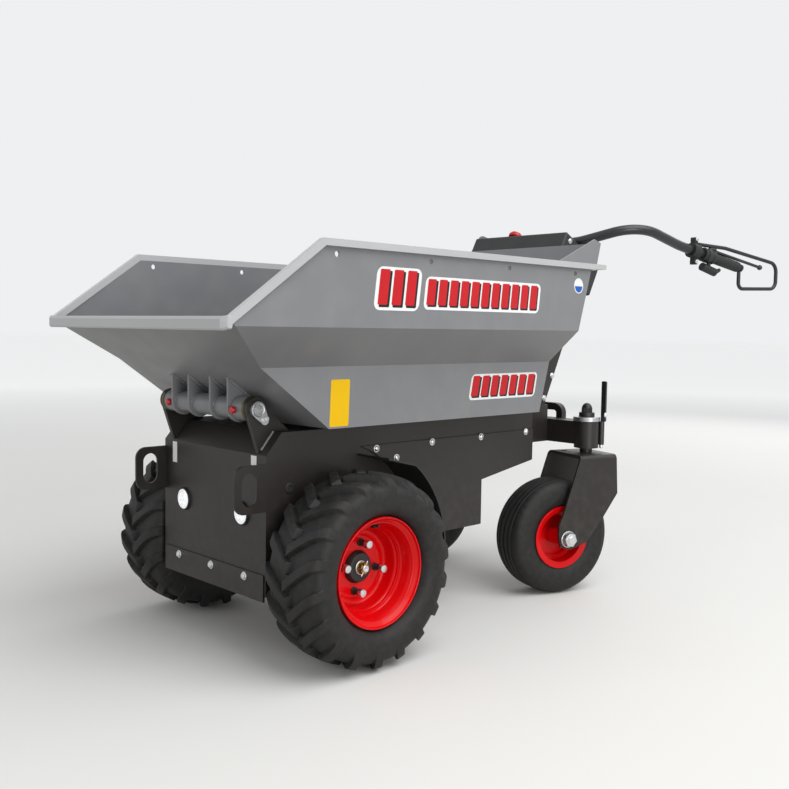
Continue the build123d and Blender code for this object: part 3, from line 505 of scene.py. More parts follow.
# %% Rims
# offset from the wheel's middle and radius, once round the closed section of the pressed rim
RIM_SECTION = [
    (-11, 20), (-11, 58), (-9.5, 60.5), (-9.5, 66), (-11, 68.5), (-11, 76), (-8, 80), (-1, 82), (9, 83.5),
    (15, 85), (18, 88.5), (22, 89.5), (26, 90.5), (29, 93.5), (34, 94.8), (44, 97.5), (52, 101.5),
    (57, 106.5), (60, 110.5), (62.5, 112), (64.5, 111.6), (66, 113), (66, 115), (64.5, 116), (56.2, 116),
    (54, 101), (32, 98.2), (22, 88.2), (-36, 88), (-42, 98), (-54, 101), (-56.2, 116), (-66, 116),
    (-66, 113), (-57, 110), (-52, 98), (-44, 93), (-36, 82.5), (-19, 81), (-17, 76), (-17, 20), (-11, 20)]
CORNER_ROUND = 1.2
CORNER_SHARE = 0.4


def even_corners(section):
    """Each corner cut back on both sides by CORNER_ROUND mm, or CORNER_SHARE of the side if less."""
    points = np.array(section, float)
    soft = [points[0]]
    for before, here, after in zip(points, points[1:], points[2:]):
        for other in (before, after):
            run = np.linalg.norm(other - here)
            soft.append(here + (other - here) * min(CORNER_ROUND, CORNER_SHARE * run) / run)
    return soft + [points[-1]]


SHAFT_END = local("wheel_rim_left")[0][0] - TRACK
SHAFT = [(SHAFT_END, 0), (SHAFT_END, 15), (-60, 15), (-60, 31), (-12, 31), (-12, 0)]
for word, side in SIDES:
    body = "drive_wheel_" + word
    centre, axis = np.array([side * TRACK, 0, TYRE_R]), side * X_AXIS
    bowl = lathe(even_corners(RIM_SECTION), centre, axis, 128)
    rim = make_piece("pressed_rim_" + word, [bowl], wheel_enamel, body, smooth=40)
    make_piece("hub_and_shaft_" + word, [lathe(SHAFT, centre, axis, 48)], soot, body)
    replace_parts(rim, "wheel_rim_" + word)

# %% [markdown]
# ## Studs and hubs
# Four long wheel studs stand out of the dished disc, with silver heads on dark threaded shanks.  Between
# them sits a black hub cap with a castle nut and its split pin.  All are turned or six-sided forms; a
# loop over four angles is shorter than copying one stud by hand.

# %% Studs, hub caps and castle nuts
DISC_FACE = -11.0
STUD_RADIUS = 51.0
STUD_ANGLES = np.radians([81, 171, 261, 351])
SLOT_DEEP = 6.0      # depth of a castle nut's slot
SLOT_HALF = 0.13     # half its width, in radians


def slotted_ring(centre, axis, inner, outer, low, high, slots=6):
    """Castle nut: a six-sided ring whose top edge drops at each of six slots."""
    sides = slots * 12
    a = np.arange(sides) * 2 * np.pi / sides
    axis, u, v = cross_axes(axis)
    across = outer * math.cos(math.pi / 6) / np.cos((a + math.pi / 6) % (math.pi / 3) - math.pi / 6)
    in_slot = np.abs((a % (2 * np.pi / slots)) - np.pi / slots) < SLOT_HALF
    top = np.where(in_slot, high - SLOT_DEEP, high)
    ring = np.cos(a)[:, None] * u + np.sin(a)[:, None] * v
    rows = [(low, inner), (low, across), (top - 1, across), (top, across - 1), (top, inner), (low, inner)]
    zr = [np.broadcast_to(value, sides)[:, None] for row in rows for value in row]
    return np.stack([centre + z * axis + r * ring for z, r in zip(zr[::2], zr[1::2])])


for word, side in SIDES:
    body = "drive_wheel_" + word
    centre, axis = np.array([side * TRACK, 0, TYRE_R]), side * X_AXIS
    heads, shanks = [], []
    for a in STUD_ANGLES:
        foot = centre + STUD_RADIUS * np.array([0, math.cos(a), math.sin(a)]) + DISC_FACE * axis
        thread = [(0, 0), (0, 6.6)] + [(1 + k, 6.4 - 0.5 * (k % 2)) for k in range(22)] + [(23, 0)]
        shanks.append(lathe(thread, foot, axis, 24))
        shanks.append(lathe([(-0.5, 0), (-0.5, 9), (2.5, 9), (3.5, 8), (3.5, 0)], foot, axis, 6))
        head = [(21, 0), (21, 8.6), (30, 8.6), (31.5, 7.6), (32, 5), (32, 0)]
        heads.append(lathe(head, foot, axis, 30))
    make_piece("stud_shanks_" + word, shanks, soot, body)
    make_piece("stud_heads_" + word, heads, zinc, body)
    disc = centre + DISC_FACE * axis
    cap = [(-1, 0), (-1, 35), (1.5, 35), (9.5, 31.6), (12.6, 29.5), (13.4, 27), (13.4, 20), (13.4, 0)]
    make_piece("hub_cap_" + word, [lathe(cap, disc, axis, 48)], soot, body)
    make_piece("castle_nut_" + word, [slotted_ring(disc, axis, 8.2, 13.5, 12, 27)], brass, body)
    collar = [(12, 0), (12, 15), (14.4, 15), (15, 14.2), (15, 0)]
    end = [(14, 0), (14, 8), (29, 8), (30, 7), (30, 3), (28.5, 1.5), (28.5, 0)]
    split_pin = tube(centre + np.outer(np.linspace(-17, 17, 9), [0, 0.5, 0.87]) + 13 * axis, 1.6, 8)
    ends = [lathe(collar, disc, axis, 32), lathe(end, disc, axis, 32), split_pin]
    make_piece("axle_end_" + word, ends, zinc, body)
    stem = centre + 91 * np.array([0, 0.1, 0.99]) + 24 * axis
    valve = [(0, 0), (0, 4.2), (12, 4.2), (13, 3), (22, 3), (22.6, 2.4), (22.6, 0)]
    valve = lathe(valve, stem, axis + 0.15 * Z_AXIS, 16)
    make_piece("valve_" + word, [valve], grip_rubber, body)

# %% [markdown]
# ## The hinge
# The skip turns on a pin between two ears.  Outside each ear a tear-drop keeper, pressed with rings and
# held by two screws, stops the pin from turning.  Inside it a bronze flange takes the side load, and a
# red cap covers each grease nipple.  They are turned on the pin's axis, which the joint gives.

# %% Hinge hardware
HINGE_Y, HINGE_Z = (np.array(JOINTS["skip_tip"]["pos_m"]) / MM - FRONT_AXLE)[1:]
KEEPER_FACE = local("hinge_pin")[1][0]
BOSS_END = local("hinge_bracket")[1][0]
KEEPER_SCREWS = ((11.5, -21), (20.5, -19.5))     # behind and above the pin's middle
rings, screws, flanges, caps = [], [], [], []
for word, side in SIDES:
    out = side * X_AXIS
    face = np.array([side * KEEPER_FACE, HINGE_Y, HINGE_Z])
    dish = [(-0.5, 0), (-0.5, 15.5), (0.9, 15.5), (1.2, 14.5), (0.4, 13), (0.4, 10.5), (1.2, 9.8), (1.2, 8.8),
            (0.4, 8.2), (0.4, 5), (1.4, 4.2), (1.4, 0)]
    rings.append(lathe(dish, face, out, 40))
    for dy, dz in KEEPER_SCREWS:
        screws += button_bolt(face + np.array([0, dy, dz]), out, 3.1, 2.4)
    ring = np.array([side * BOSS_END, HINGE_Y, HINGE_Z])
    flange = [(0.4, 16), (0.4, 26), (1.2, 26.8), (6.2, 26.8), (6.8, 26), (6.8, 16), (0.4, 16)]
    flanges.append(lathe(flange, ring, out, 48))
    tip = np.array([side * 125.0, HINGE_Y - 24.5, HINGE_Z - 2])
    cap = [(-2, 0), (-2, 6.2), (1.5, 6.4), (2.5, 7.8), (6.5, 7.8), (8.6, 6.6), (9.4, 4), (9.6, 0)]
    caps.append(lathe(cap, tip, -Y_AXIS, 28))
make_piece("keeper_rings", rings, cast_zinc, "chassis")
make_piece("keeper_screws", screws, zinc, "chassis")
make_piece("bush_flanges", flanges, bronze, "chassis")
make_piece("grease_caps", caps, red_plastic, "skip")

# %% [markdown]
# ## Weld beads
# A hand-laid bead is a round run of overlapping ripples.  A displaced cylinder would do, but it needs
# many faces.  Here it is a tube whose radius swells and shrinks along its path.

# %% Beads
RIPPLE_SHARE = 0.14


def bead(start, end, radius, ripple=3.4):
    """Rippled tube between two points: radius * (1 + RIPPLE_SHARE * cos(2 pi * run / ripple))."""
    start, end = np.asarray(start, float), np.asarray(end, float)
    run = np.linalg.norm(end - start)
    t = np.linspace(0, 1, int(run / ripple * 6) + 2)
    size = radius * (1 + RIPPLE_SHARE * np.cos(2 * np.pi * run * t / ripple))
    return tube(start + t[:, None] * (end - start), size, 10)


NOSE_LOW, NOSE_HIGH = (-169.0, 441.5), (-133.0, 484.5)    # the nose's fold and its upper edge
EAR_OUT = local("hinge_ear_left")[1][0]
beads = [bead((side * (EAR_OUT + 1.5), NOSE_LOW[0] + 5, NOSE_LOW[1] + 7),
              (side * (EAR_OUT + 1.5), NOSE_HIGH[0], NOSE_HIGH[1] + 1.5), 3.2) for word, side in SIDES]
make_piece("ear_welds", beads, weld_metal, "chassis", smooth=60)

# %% Rib welds
CHUTE_HEAD = (-370.0, 716.0)     # the chute's lower face under the lip
CHUTE_FOOT = (-66.0, 495.0)      # and where it meets the floor
RIBS = (-108.0, -42.0, 42.0, 108.0)
RIB_HALF = 29.0
COLLAR_R = 23.4


def under_chute(y):
    """Height of the chute's lower face at y: a straight fall from the lip to the floor."""
    slope = (CHUTE_HEAD[1] - CHUTE_FOOT[1]) / (CHUTE_FOOT[0] - CHUTE_HEAD[0])
    return CHUTE_HEAD[1] - (y - CHUTE_HEAD[0]) * slope


beads = []
for x in RIBS:
    for off in (-4.6, 4.6):
        ends = [(x + off, y, under_chute(y) - 1.6) for y in (HINGE_Y - RIB_HALF, HINGE_Y + RIB_HALF)]
        beads.append(bead(ends[0], ends[1], 2.6))
    a = np.linspace(0, 2 * np.pi, 60)
    for off in (-3.6, 3.6):
        loop = np.stack([0 * a + x + off, HINGE_Y + COLLAR_R * np.cos(a), HINGE_Z + COLLAR_R * np.sin(a)],
                        axis=1)
        beads.append(tube(loop[8:30], 1.8 * (1 + 0.12 * np.cos(40 * a[8:30])), 8))
make_piece("rib_welds", beads, skip_enamel, "skip", smooth=60)

# %% [markdown]
# ## Folded corners
# The lip's hem runs into the side rim with a filed, rounded corner.  Each is a loft: the hem's outline at
# its end, and a smaller one where it reaches the rim's outer face.  Bars that cross would leave a step.

# %% Lip corners
LIP_LOW, LIP_HIGH = local("lip_bar")
RIM_OUT = local("rim_side_left")[1][0] + 0.4      # just proud of the rim, so that no faces coincide
# the hem's outline: behind its front and above its foot
hem = np.array([(3, 25.5), (0, 20), (0, 3), (3, 0), (12, 0), (18, 25.5)])
# how far along the corner each ring lies, and its size against the hem's
CORNER_RINGS = ((0, 0.0), (0, 0.985), (0.6, 0.97), (0.92, 0.88), (1, 0.78), (1, 0.0))
CORNER_DRIFT = np.array([5.0, 2.0])
hem_middle = hem.mean(axis=0)
corners = []
for word, side in SIDES:
    rows = []
    for share, size in CORNER_RINGS:
        back, up = (hem_middle + (hem - hem_middle) * size + CORNER_DRIFT * share).T
        x = side * (LIP_HIGH[0] + (RIM_OUT - LIP_HIGH[0]) * share)
        rows.append(np.stack([np.full(len(hem), x), LIP_LOW[1] + back, LIP_LOW[2] + up], axis=1))
    corners.append(np.stack(rows))
# The corners take the paler edge enamel: a painted highlight.
make_piece("lip_corners", corners, highlit_edge_enamel, "skip", smooth=28)

# %% [markdown]
# ## Bolts
# Bolted panels are what makes such a machine look built.  Geometry Nodes could scatter bolts, but their
# places are few and known, so tables hold them and one loop joins them into a single piece.

# %% Panel bolts
SKIRT_OUT = local("skirt_left")[1][0]
SKID_FRONT = local("skid_plate")[0][1]
COLUMN_OUT = local("column")[1][0]
CONSOLE_OUT = local("console")[1][0]
SKIRT_BOLTS = ((130, 433), (193, 407), (310, 435), (486, 435), (665, 436))
COLUMN_BOLTS = ((875, 575), (841, 513), (805, 475))
CONSOLE_BOLTS = ((884, 950), (1006, 886))
SKID_BOLTS = (-130, 0, 125)
SKID_BOLTS_UP = 181
bolts = []
for word, side in SIDES:
    out = side * X_AXIS
    for y, z in SKIRT_BOLTS:
        bolts += button_bolt((side * SKIRT_OUT, y, z), out)
    for y, z in COLUMN_BOLTS:
        bolts += hex_bolt((side * COLUMN_OUT, y, z), out, 11, 5, 8)
    for y, z in CONSOLE_BOLTS:
        bolts += hex_bolt((side * CONSOLE_OUT, y, z), out, 10, 4.5, 7.5)
for x in SKID_BOLTS:
    bolts += hex_bolt((x, SKID_FRONT, SKID_BOLTS_UP), -Y_AXIS, 12, 5, 9)
make_piece("panel_bolts", bolts, zinc, "chassis")

# %% [markdown]
# ## Work lamps
# Each lamp is a frosted lens in a dark bezel, with a ring of diodes.  A glowing disc would look like a
# sticker, so the lens is a shallow turned dome whose steps catch the light.

# %% Lamps
LAMP_LOW, LAMP_HIGH = local("lamp_left")
LAMP = (LAMP_LOW + LAMP_HIGH) / 2
DIODE_RING = 11.5
LAMP_DOME = [(-1, 0), (-1, 22.6), (0.4, 22.6), (0.9, 21), (0.4, 19.5), (0.9, 18), (1.6, 16), (1.2, 14.5),
             (2, 12), (2.4, 7), (2.5, 0)]
domes, bezels, diodes = [], [], []
for word, side in SIDES:
    at = np.array([side * LAMP[0], LAMP_LOW[1], LAMP[2]])
    domes.append(lathe(LAMP_DOME, at, -Y_AXIS, 48))
    ring = [(-3, 22.4), (1.2, 22.4), (1.8, 23), (1.6, 24.6), (0.4, 25.6), (-3, 25.8), (-3, 22.4)]
    bezels.append(lathe(ring, at, -Y_AXIS, 48))
    turns = np.radians(range(0, 360, 60))
    spots = [at + DIODE_RING * np.array([math.cos(a), 0, math.sin(a)]) for a in turns] + [at]
    for spot in spots:
        diodes.append(lathe([(0, 0), (0, 3.4), (3.9, 3.4), (4.8, 2.2), (5.1, 0)], spot, -Y_AXIS, 16))
make_piece("lamp_domes", domes, lens, "chassis")
make_piece("lamp_bezels", bezels, black_coat, "chassis")
make_piece("lamp_diodes", diodes, lens, "chassis")

# %% [markdown]
# ## Casters: nuts, washers and the king-pin's cap
# The wheel's axle is a bolt with a flanged nut at each cheek.  On the king-pin a thick zinc washer carries
# a black flange and a domed nut.  All are turned, with few sides for a nut.  They ride on the caster, so
# they swivel with it.

# %% Caster hardware
CHEEK_OUT = 75.2          # the fork's outer face, from the wheel's middle
NUT_TURN = 0.35
KING_PIN_STANDS = 50.0    # how far the king-pin stands over its washer's seat
KING_DOME = 13.8
for word, side in SIDES:
    body = "caster_" + word
    centre, axis = wheel_place(f"caster_wheel_{word}_spin")
    nuts, washers = [], []
    for way in (-1, 1):
        out = way * axis
        face = centre + CHEEK_OUT * out
        washers.append(lathe([(0, 0), (0, 22), (2.6, 22), (3.2, 21), (3.2, 0)], face, out, 40))
        flange = [(3, 0), (3, 19.5), (5.5, 19), (8, 17.6), (13.6, 17.3), (13.6, 0)]
        washers.append(lathe(flange, face, out, 40))
        nut = [(7, 0), (7, 18.9), (15.6, 18.9), (17.6, 16.4), (17.8, 9), (17.8, 0)]
        nuts.append(lathe(nut, face, out, 6, NUT_TURN))
        nuts.append(lathe([(14, 0), (14, 10.6), (19, 10.6), (20, 9.6), (20, 0)], face, out, 28))
    make_piece("axle_nuts_" + word, nuts, zinc, body)
    make_piece("axle_washers_" + word, washers, cast_zinc, body)
    king = np.array(JOINTS[f"caster_{word}_swivel"]["pos_m"]) / MM - FRONT_AXLE
    base = np.array([king[0], king[1], local("fork_" + word)[1][2] - KING_PIN_STANDS])
    ring = [(0.4, 16), (0.4, 35.2), (1.4, 36.3), (11.2, 36.3), (12.3, 35.2), (12.3, 0)]
    make_piece("king_washer_" + word, [lathe(ring, base, Z_AXIS, 64)], cast_zinc, body)
    flange = [(12, 0), (12, 21.2), (22.5, 21.2), (24.4, 19.4), (24.4, 0)]
    nut = [(24, 0), (24, 14.5), (37, 14.5), (37, 0)]
    quarter = np.linspace(0, math.pi / 2, 9)
    dome = [(36, 0)] + [(36 + KING_DOME * math.sin(a), KING_DOME * math.cos(a)) for a in quarter]
    cap = [lathe(flange, base, Z_AXIS, 48), lathe(nut, base, Z_AXIS, 6), lathe(dome, base, Z_AXIS, 36)]
    make_piece("king_cap_" + word, cap, black_coat, body)

# %% Lock levers' pivot bolts
LOCK_BOLT_UP = 474
bolts = []
for word, side in SIDES:
    low, high = local("lock_pin_" + word)
    x = (low[0] + high[0]) / 2
    bolts += hex_bolt((x + side * 2, high[1] - 4.5, LOCK_BOLT_UP), Y_AXIS, 10, 5, 7)
    bolts += button_bolt((x + side * 9, high[1] - 7, LOCK_BOLT_UP), side * X_AXIS, 4.5, 3.6)
    tip = np.array([x - side * 2, (low[1] + high[1]) / 2, low[2]])
    bolts.append(lathe([(0, 0), (0, 5), (8, 5), (9.5, 3.5), (9.5, 0)], tip, -Z_AXIS, 20))
make_piece("lock_bolts", bolts, zinc, "chassis")

# %% [markdown]
# ## Handlebar ends
# The grips point out and down from two clamps.  A point there is easiest to name by its run behind the
# clamp and its lift over the grip's axis.  The rubber sleeve's shallow rings are turned and not bump,
# because they show in its outline.

# %% Grips
CLAMP = np.array([337.0, 1258.0, 939.0])
GRIP_TURN = math.radians(15.5)
GRIP_FALL = 0.218
SLEEVE_RUN, SLEEVE_LONG = 77, 100      # where the rubber starts behind the clamp, and its length
RING_STEP, RING_HIGH = 6, 0.45
PLUG_RUN = 193
CLAMP_BOLT_LIFTS = (33, -31)
PERCH_BANDS = ((34, 20.4, 5), (46, 20.9, 14), (68, 20.2, 7))    # run, radius and width of each
PERCH_ARM = ((50, 4), (58, 16), (68, 23), (84, 24.5))           # run and lift of its points
PADDLE = ((88, -34), (98, -33), (106, -27))


def grip_point(side, run, lift=0.0):
    """Point of one grip: run along its level heading, then down by the fall, and up by lift."""
    spot = CLAMP + np.array([run * math.sin(GRIP_TURN), run * math.cos(GRIP_TURN), lift - GRIP_FALL * run])
    return spot * np.array([side, 1, 1])


sleeves, plugs, bolts, perches = [], [], [], []
for word, side in SIDES:
    axis = grip_point(side, 1) - grip_point(side, 0)
    out = np.array([side * math.cos(GRIP_TURN), -math.sin(GRIP_TURN), 0])
    z = np.arange(0, SLEEVE_LONG + 1.0, 1.0)
    ringed = 15.25 + RING_HIGH * (0.5 + 0.5 * np.cos(z * 2 * np.pi / RING_STEP))
    tail = [(SLEEVE_LONG + 1.5, 15.0), (SLEEVE_LONG + 3, 13), (SLEEVE_LONG + 3, 11.2), (0, 11.2)]
    profile = [(0, 11.2), (0, 15.4)] + list(zip(z, ringed)) + tail
    sleeves.append(lathe(profile, grip_point(side, SLEEVE_RUN), axis, 40))
    plug = [(-6, 0), (-6, 11.5), (1.5, 11.5), (2.4, 10.5), (2.4, 0)]
    plugs.append(lathe(plug, grip_point(side, PLUG_RUN), axis, 28))
    for lift in CLAMP_BOLT_LIFTS:
        spot = grip_point(side, 0, lift)
        bolts += hex_bolt(spot + 8 * out, out, 10, 5, 0.1)
        bolts += hex_bolt(spot - 8 * out, -out, 10, 4, 0.1)
    for run, r, wide in PERCH_BANDS:
        band = [(0, 18), (0, r - 0.8), (0.8, r), (wide - 0.8, r), (wide, r - 0.8), (wide, 18), (0, 18)]
        perches.append(lathe(band, grip_point(side, run), axis, 40))
    perches.append(tube([grip_point(side, *spot) for spot in PERCH_ARM], 7.0, 14))
    perches.append(tube([grip_point(side, *spot) for spot in PADDLE], np.array([5.5, 6.5, 5.0]), 14))
make_piece("lever_perches", perches, case_plastic, "chassis", smooth=40)
make_piece("grip_sleeves", sleeves, grip_rubber, "chassis", smooth=50)
make_piece("grip_plugs", plugs, grip_rubber, "chassis")
make_piece("clamp_bolts", bolts, zinc, "chassis")

# %% [markdown]
# ## The console
# The red mushroom of the emergency stop shows over the console's edge.  The operator also sees a key
# switch, a round charge gauge with a blank face and a rocker switch.  Two directions, across the top and
# down its slope, place them all.

# %% Console top
CONSOLE_TILT = math.radians(28)
CONSOLE_EDGE = np.array([0, 870.0, 976.0])
CONSOLE_UP = np.array([0, math.sin(CONSOLE_TILT), math.cos(CONSOLE_TILT)])
CONSOLE_RUN = np.array([0, math.cos(CONSOLE_TILT), -math.sin(CONSOLE_TILT)])
STOP_AT, GAUGE_AT, KEY_AT = (-46, 34), (60, 105), (118, 105)    # x and run of each control
ROCKER = ((-128, 92), (-96, 92), (-96, 118), (-128, 118))


def on_console(x, run):
    """Point on the console's top: x across and run down its slope from the front edge."""
    return CONSOLE_EDGE + x * X_AXIS + run * CONSOLE_RUN


collar = [(0, 0), (0, 21), (2, 21), (3.5, 19.5), (3.5, 13), (13, 12.5), (13, 0)]
collar = lathe(collar, on_console(*STOP_AT), CONSOLE_UP, 40)
make_piece("stop_collar", [collar], case_plastic, "chassis")
mushroom = [(13, 0), (13, 18.5), (14, 20), (17, 20.8), (21, 20.4), (24.6, 18), (27, 12), (27.8, 5), (27.9, 0)]
mushroom = lathe(mushroom, on_console(*STOP_AT), CONSOLE_UP, 48)
make_piece("stop_mushroom", [mushroom], red_plastic, "chassis")
gauge = [(0, 0), (0, 27), (3, 27), (4, 26), (4, 23.5), (2.2, 22.5), (2.2, 0)]
key = [(0, 0), (0, 13), (3, 13), (4, 12), (4, 5), (9, 5), (9, 0)]
knobs = [lathe(gauge, on_console(*GAUGE_AT), CONSOLE_UP, 48), lathe(key, on_console(*KEY_AT), CONSOLE_UP, 32)]
make_piece("console_gauge_and_key", knobs, chrome, "chassis")
face = [(2, 0), (2, 22.4), (2.6, 22), (2.6, 0)]
face = lathe(face, on_console(*GAUGE_AT), CONSOLE_UP, 48)
make_piece("gauge_face", [face], white_vinyl, "chassis")
rocker = [on_console(*corner) for corner in ROCKER]
make_piece("rocker_switch", [slab(rocker, 5 * CONSOLE_UP)], case_plastic, "chassis")

# %% [markdown]
# ## Films on the sheet metal
# The large stickers are a plain design: slanted red bars with black shadows on a white ground.  An image
# would need a layout of each plate and blur from near by.  Here each film is a flat outline laid on its
# panel a little over the film below it.  No film has words.

# %% Films
SIDE_LOW = ((495.0, 269.0), (623.0, 275.0))       # (height, x) of the panel's lower and upper edge
SIDE_HIGH = ((702.0, 350.0), (857.0, 346.0))
SLANT = 0.15
BAR_CORNER = 3
FILM_THICK = 0.25


def on_side(side, panel, y, z, lift):
    """Point on a flat panel of the skip's side: x runs evenly from its lower to its upper edge."""
    (z0, x0), (z1, x1) = panel
    y, z = np.broadcast_arrays(np.asarray(y, float), np.asarray(z, float))
    x = x0 + (z - z0) * (x1 - x0) / (z1 - z0) + lift
    return np.stack([side * x, y, z], axis=-1)


def rounded(y0, y1, z0, z1, corner, slant=SLANT, steps=8):
    """Outline of a rectangle with round corners, its top moved back by slant times its height."""
    a = np.linspace(0, np.pi / 2, steps)
    spots = []
    for turn, (cy, cz) in enumerate(((y1 - corner, z1 - corner), (y0 + corner, z1 - corner),
                                     (y0 + corner, z0 + corner), (y1 - corner, z0 + corner))):
        b = a + turn * np.pi / 2
        spots.append(np.stack([cy + corner * np.cos(b), cz + corner * np.sin(b)], axis=1))
    y, z = np.concatenate(spots).T
    return y + slant * (z - z0), z


def half_disc(y, z, radius, steps=24):
    """Outline of the lower half of a disc."""
    a = np.linspace(math.pi, 2 * math.pi, steps)
    return y + radius * np.cos(a), z + radius * np.sin(a)


def bars(y0, y1, z0, z1, count, gap):
    """Outlines of equal slanted bars between y0 and y1."""
    wide = (y1 - y0 - (count - 1) * gap) / count
    return [rounded(y0 + k * (wide + gap), y0 + k * (wide + gap) + wide, z0, z1, BAR_CORNER)
            for k in range(count)]


# name, panel, lift off the panel, finish, material slot and outlines of each film
FILMS = (
    ("film_ground_", SIDE_HIGH, 0.1, white_vinyl, "lamp_lens",
     [rounded(-22, 106, 738, 826, 16), rounded(120, 512, 742, 812, 14)]),
    ("film_shadow_", SIDE_HIGH, 0.3, black_vinyl, "guard_paint",
     bars(-8, 98, 744, 818, 3, 9) + bars(132, 505, 748, 804, 11, 7)),
    ("film_bars_", SIDE_HIGH, 0.5, red_vinyl, "wheel_paint",
     bars(-11, 93, 749, 821, 3, 12) + bars(129, 501, 752, 807, 11, 10)),
    ("low_ground_", SIDE_LOW, 0.1, white_vinyl, "lamp_lens", [rounded(356, 604, 536, 597, 12)]),
    ("low_shadow_", SIDE_LOW, 0.3, black_vinyl, "guard_paint", bars(366, 598, 541, 590, 7, 7)),
    ("low_bars_", SIDE_LOW, 0.5, red_vinyl, "wheel_paint", bars(363, 594, 545, 593, 7, 10)),
    ("yellow_plate_", SIDE_LOW, 0.1, yellow_vinyl, "stop_red", [rounded(-66, -15, 499, 596, 4, 0)]),
    ("disc_ground_", SIDE_HIGH, 0.1, white_vinyl, "lamp_lens", [rounded(656, 694, 795, 833, 18.9, 0)]),
    ("disc_low_half_", SIDE_HIGH, 0.3, blue_vinyl, "lamp_lens", [half_disc(675, 813, 15.5)]),
)
for word, side in SIDES:
    for name, panel, lift, finish, slot, outlines in FILMS:
        plates = [slab(on_side(side, panel, y, z, lift), FILM_THICK * side * X_AXIS) for y, z in outlines]
        make_piece(name + word, plates, finish, "skip")

# %% [markdown]
# ## Tags and grommets
# Two blank white tags stick to the front plate, and a rubber grommet sits in each side plate.  A slab and
# a turned form are enough for them.

# %% Tags and grommets
FRONT_FACE = local("front_plate")[0][1]
SIDE_FACE = local("side_plate_left")[1][0]
TAGS = ((-162, -144, 390, 437), (144, 163, 417, 437))     # x from and to, then z from and to
GROMMET = [(0, 0), (0, 11), (1.5, 11), (2.4, 9.5), (2.4, 7), (0.5, 6), (0.5, 0)]
tags = []
for x0, x1, z0, z1 in TAGS:
    corners = [(x, FRONT_FACE - 0.1, z) for x, z in ((x0, z0), (x1, z0), (x1, z1), (x0, z1))]
    tags.append(slab(corners, -0.3 * Y_AXIS))
make_piece("front_tags", tags, white_vinyl, "chassis")
grommets = [lathe(GROMMET, (side * SIDE_FACE, -111, 369), side * X_AXIS, 28) for word, side in SIDES]
make_piece("grommets", grommets, grip_rubber, "chassis")

# %% [markdown]
# ## Floor and light
# A pale floor keeps the machine's shadow under an even sky.  Both look bright but throw less light on
# the machine, or its dark parts would wash out from below: the light path tells rays that look from rays
# that only light.  Far off, the floor glows until it meets the sky, so no horizon shows.  Four soft lamps
# add shape: a wide one overhead, a low one on the machine's left, a weak one in front and one behind.

# %% Floor
FLOOR_HALF = 60.0            # metres
FLOOR_PAINT, FLOOR_SPECK = "#e5e4e1", "#e0dfdc"
FLOOR_BOUNCE = "#b3b0aa"     # what the floor throws back on the machine
SKY_COLOUR = "#eef0f2"
SKY_LEVEL = 0.6              # the share of the sky that lights the machine
FADE_NEAR, FADE_FAR, FADE_GLOW = 2.0, 9.0, 0.5    # metres, metres, strength


def seen_plainly(tree):
    """1 for rays from the camera, off a mirror-like face or through glass; 0 for rays that only light."""
    rays = add_node(tree, "ShaderNodeLightPath").outputs
    two = add_node(tree, "ShaderNodeMath", {0: rays["Is Camera Ray"], 1: rays["Is Glossy Ray"]},
                   operation="MAXIMUM").outputs[0]
    return add_node(tree, "ShaderNodeMath", {0: two, 1: rays["Is Transmission Ray"]},
                    operation="MAXIMUM").outputs[0]


mesh = bpy.data.meshes.new("studio_floor")
corners = [(x * FLOOR_HALF, y * FLOOR_HALF, 0) for x, y in ((-1, -1), (1, -1), (1, 1), (-1, 1))]
mesh.from_pydata(corners, [], [(0, 1, 2, 3)])
floor = bpy.data.objects.new("studio_floor", mesh)
bpy.context.collection.objects.link(floor)
paint = coated("pale_studio_floor", FLOOR_PAINT, FLOOR_SPECK, 0.85, 900, 40, 0.01, 0.03,
               Specular_IOR_Level=0.1)
mesh.materials.append(paint)
tree = paint.node_tree
shader = tree.nodes["Principled BSDF"]
pale = shader.inputs["Base Color"].links[0].from_socket
plain = seen_plainly(tree)
mix = add_node(tree, "ShaderNodeMix", {0: plain, 7: pale}, data_type="RGBA")
mix.inputs[6].default_value = linear(FLOOR_BOUNCE)
tree.links.new(mix.outputs[2], shader.inputs["Base Color"])
place = add_node(tree, "ShaderNodeTexCoord").outputs["Object"]
reach = add_node(tree, "ShaderNodeVectorMath", {0: place}, operation="LENGTH").outputs["Value"]
far = add_node(tree, "ShaderNodeMapRange", {"Value": reach},
               From_Min=FADE_NEAR, From_Max=FADE_FAR, To_Max=FADE_GLOW).outputs["Result"]
glow = add_node(tree, "ShaderNodeMath", {0: far, 1: plain}, operation="MULTIPLY").outputs[0]
tree.links.new(glow, shader.inputs["Emission Strength"])
shader.inputs["Emission Color"].default_value = linear(SKY_COLOUR)
print("floor nodes:", len(tree.nodes))

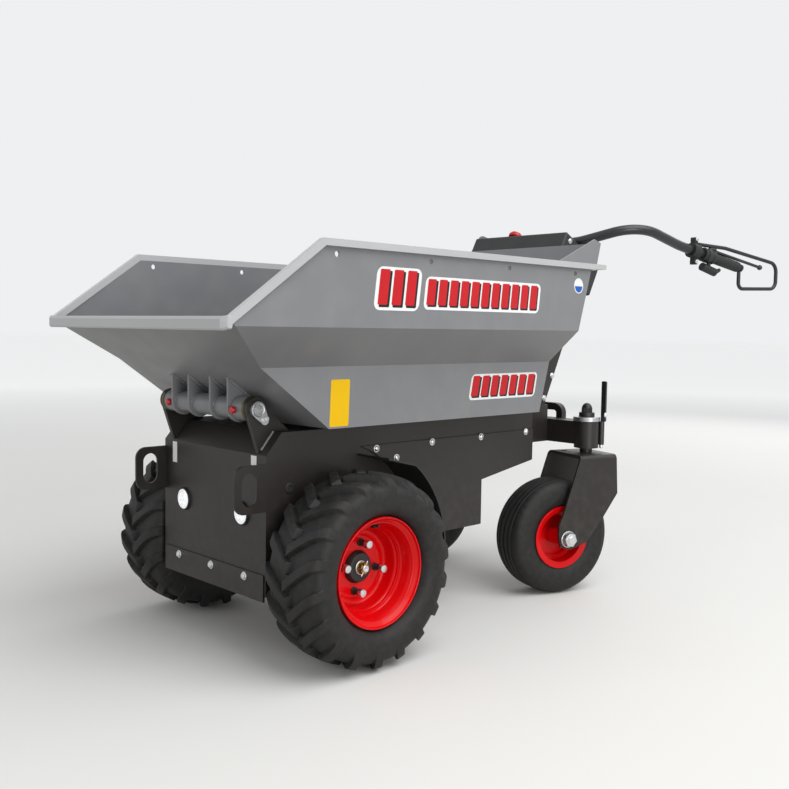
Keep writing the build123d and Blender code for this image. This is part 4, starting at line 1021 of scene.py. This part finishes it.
# %% Sky and lamps
world = bpy.data.worlds.new("studio")
bpy.context.scene.world = world
world.use_nodes = True
tree = world.node_tree
sky = tree.nodes["Background"]
sky.inputs["Color"].default_value = linear(SKY_COLOUR)
level = add_node(tree, "ShaderNodeMix", {0: seen_plainly(tree)}, data_type="FLOAT")
level.inputs[2].default_value = SKY_LEVEL
level.inputs[3].default_value = 1.0
tree.links.new(level.outputs[0], sky.inputs["Strength"])
# name, place, target, width in metres and power in watts
LAMPS = (("sky", (2.7, 0.1, 4.3), (-0.2, 0, 0.6), 4.5, 190), ("key", (5.2, -1.9, 0.8), (0, 0, 0.5), 1.6, 75),
         ("fill", (-1.6, -5.0, 1.6), (0, 0, 0.5), 3.0, 28), ("rear", (-1.0, 4.5, 3.0), (0, 0, 0.6), 4.0, 50))
for name, place, target, size, power in LAMPS:
    data = bpy.data.lights.new(name, "AREA")
    data.size, data.energy = size, power
    lamp = bpy.data.objects.new(name, data)
    bpy.context.collection.objects.link(lamp)
    lamp.location = place
    lamp.rotation_mode = "QUATERNION"
    lamp.rotation_quaternion = (Vector(target) - Vector(place)).to_track_quat("-Z", "Y")
    print("lamp", name, power, "W")
bpy.context.scene.view_settings.view_transform = "Standard"

# %% [markdown]
# ## Camera
# The camera stands low, in front and on the machine's left, measured from the drive axle.  At azimuth 0
# it looks along +Y and at 90 along -X; then it is tipped down and rolled.  A constraint could aim it, but
# three angles also give the roll.

# %% Camera
CAMERA_FROM_AXLE = (1.7519, -1.3129, 0.7024)    # metres
CAMERA_ANGLES = (46.03, 3.985, 0.81)    # azimuth, tip and roll in degrees
CAMERA_LENS = 43.477
a, e, r = map(math.radians, CAMERA_ANGLES)
back = Vector((math.sin(a) * math.cos(e), -math.cos(a) * math.cos(e), math.sin(e)))
right = Vector((math.cos(a), math.sin(a), 0))
up = back.cross(right)
across = right * math.cos(r) + up * math.sin(r)
above = up * math.cos(r) - right * math.sin(r)
data = bpy.data.cameras.new("camera")
data.lens, data.sensor_width = CAMERA_LENS, 36.0
camera = bpy.data.objects.new("camera", data)
bpy.context.collection.objects.link(camera)
turn = Matrix((across, above, back)).transposed()
place = Vector(CAMERA_FROM_AXLE) + Vector(FRONT_AXLE * MM)
camera.matrix_world = Matrix.Translation(place) @ turn.to_4x4()
bpy.context.scene.camera = camera
print("camera lens", CAMERA_LENS, "mm")
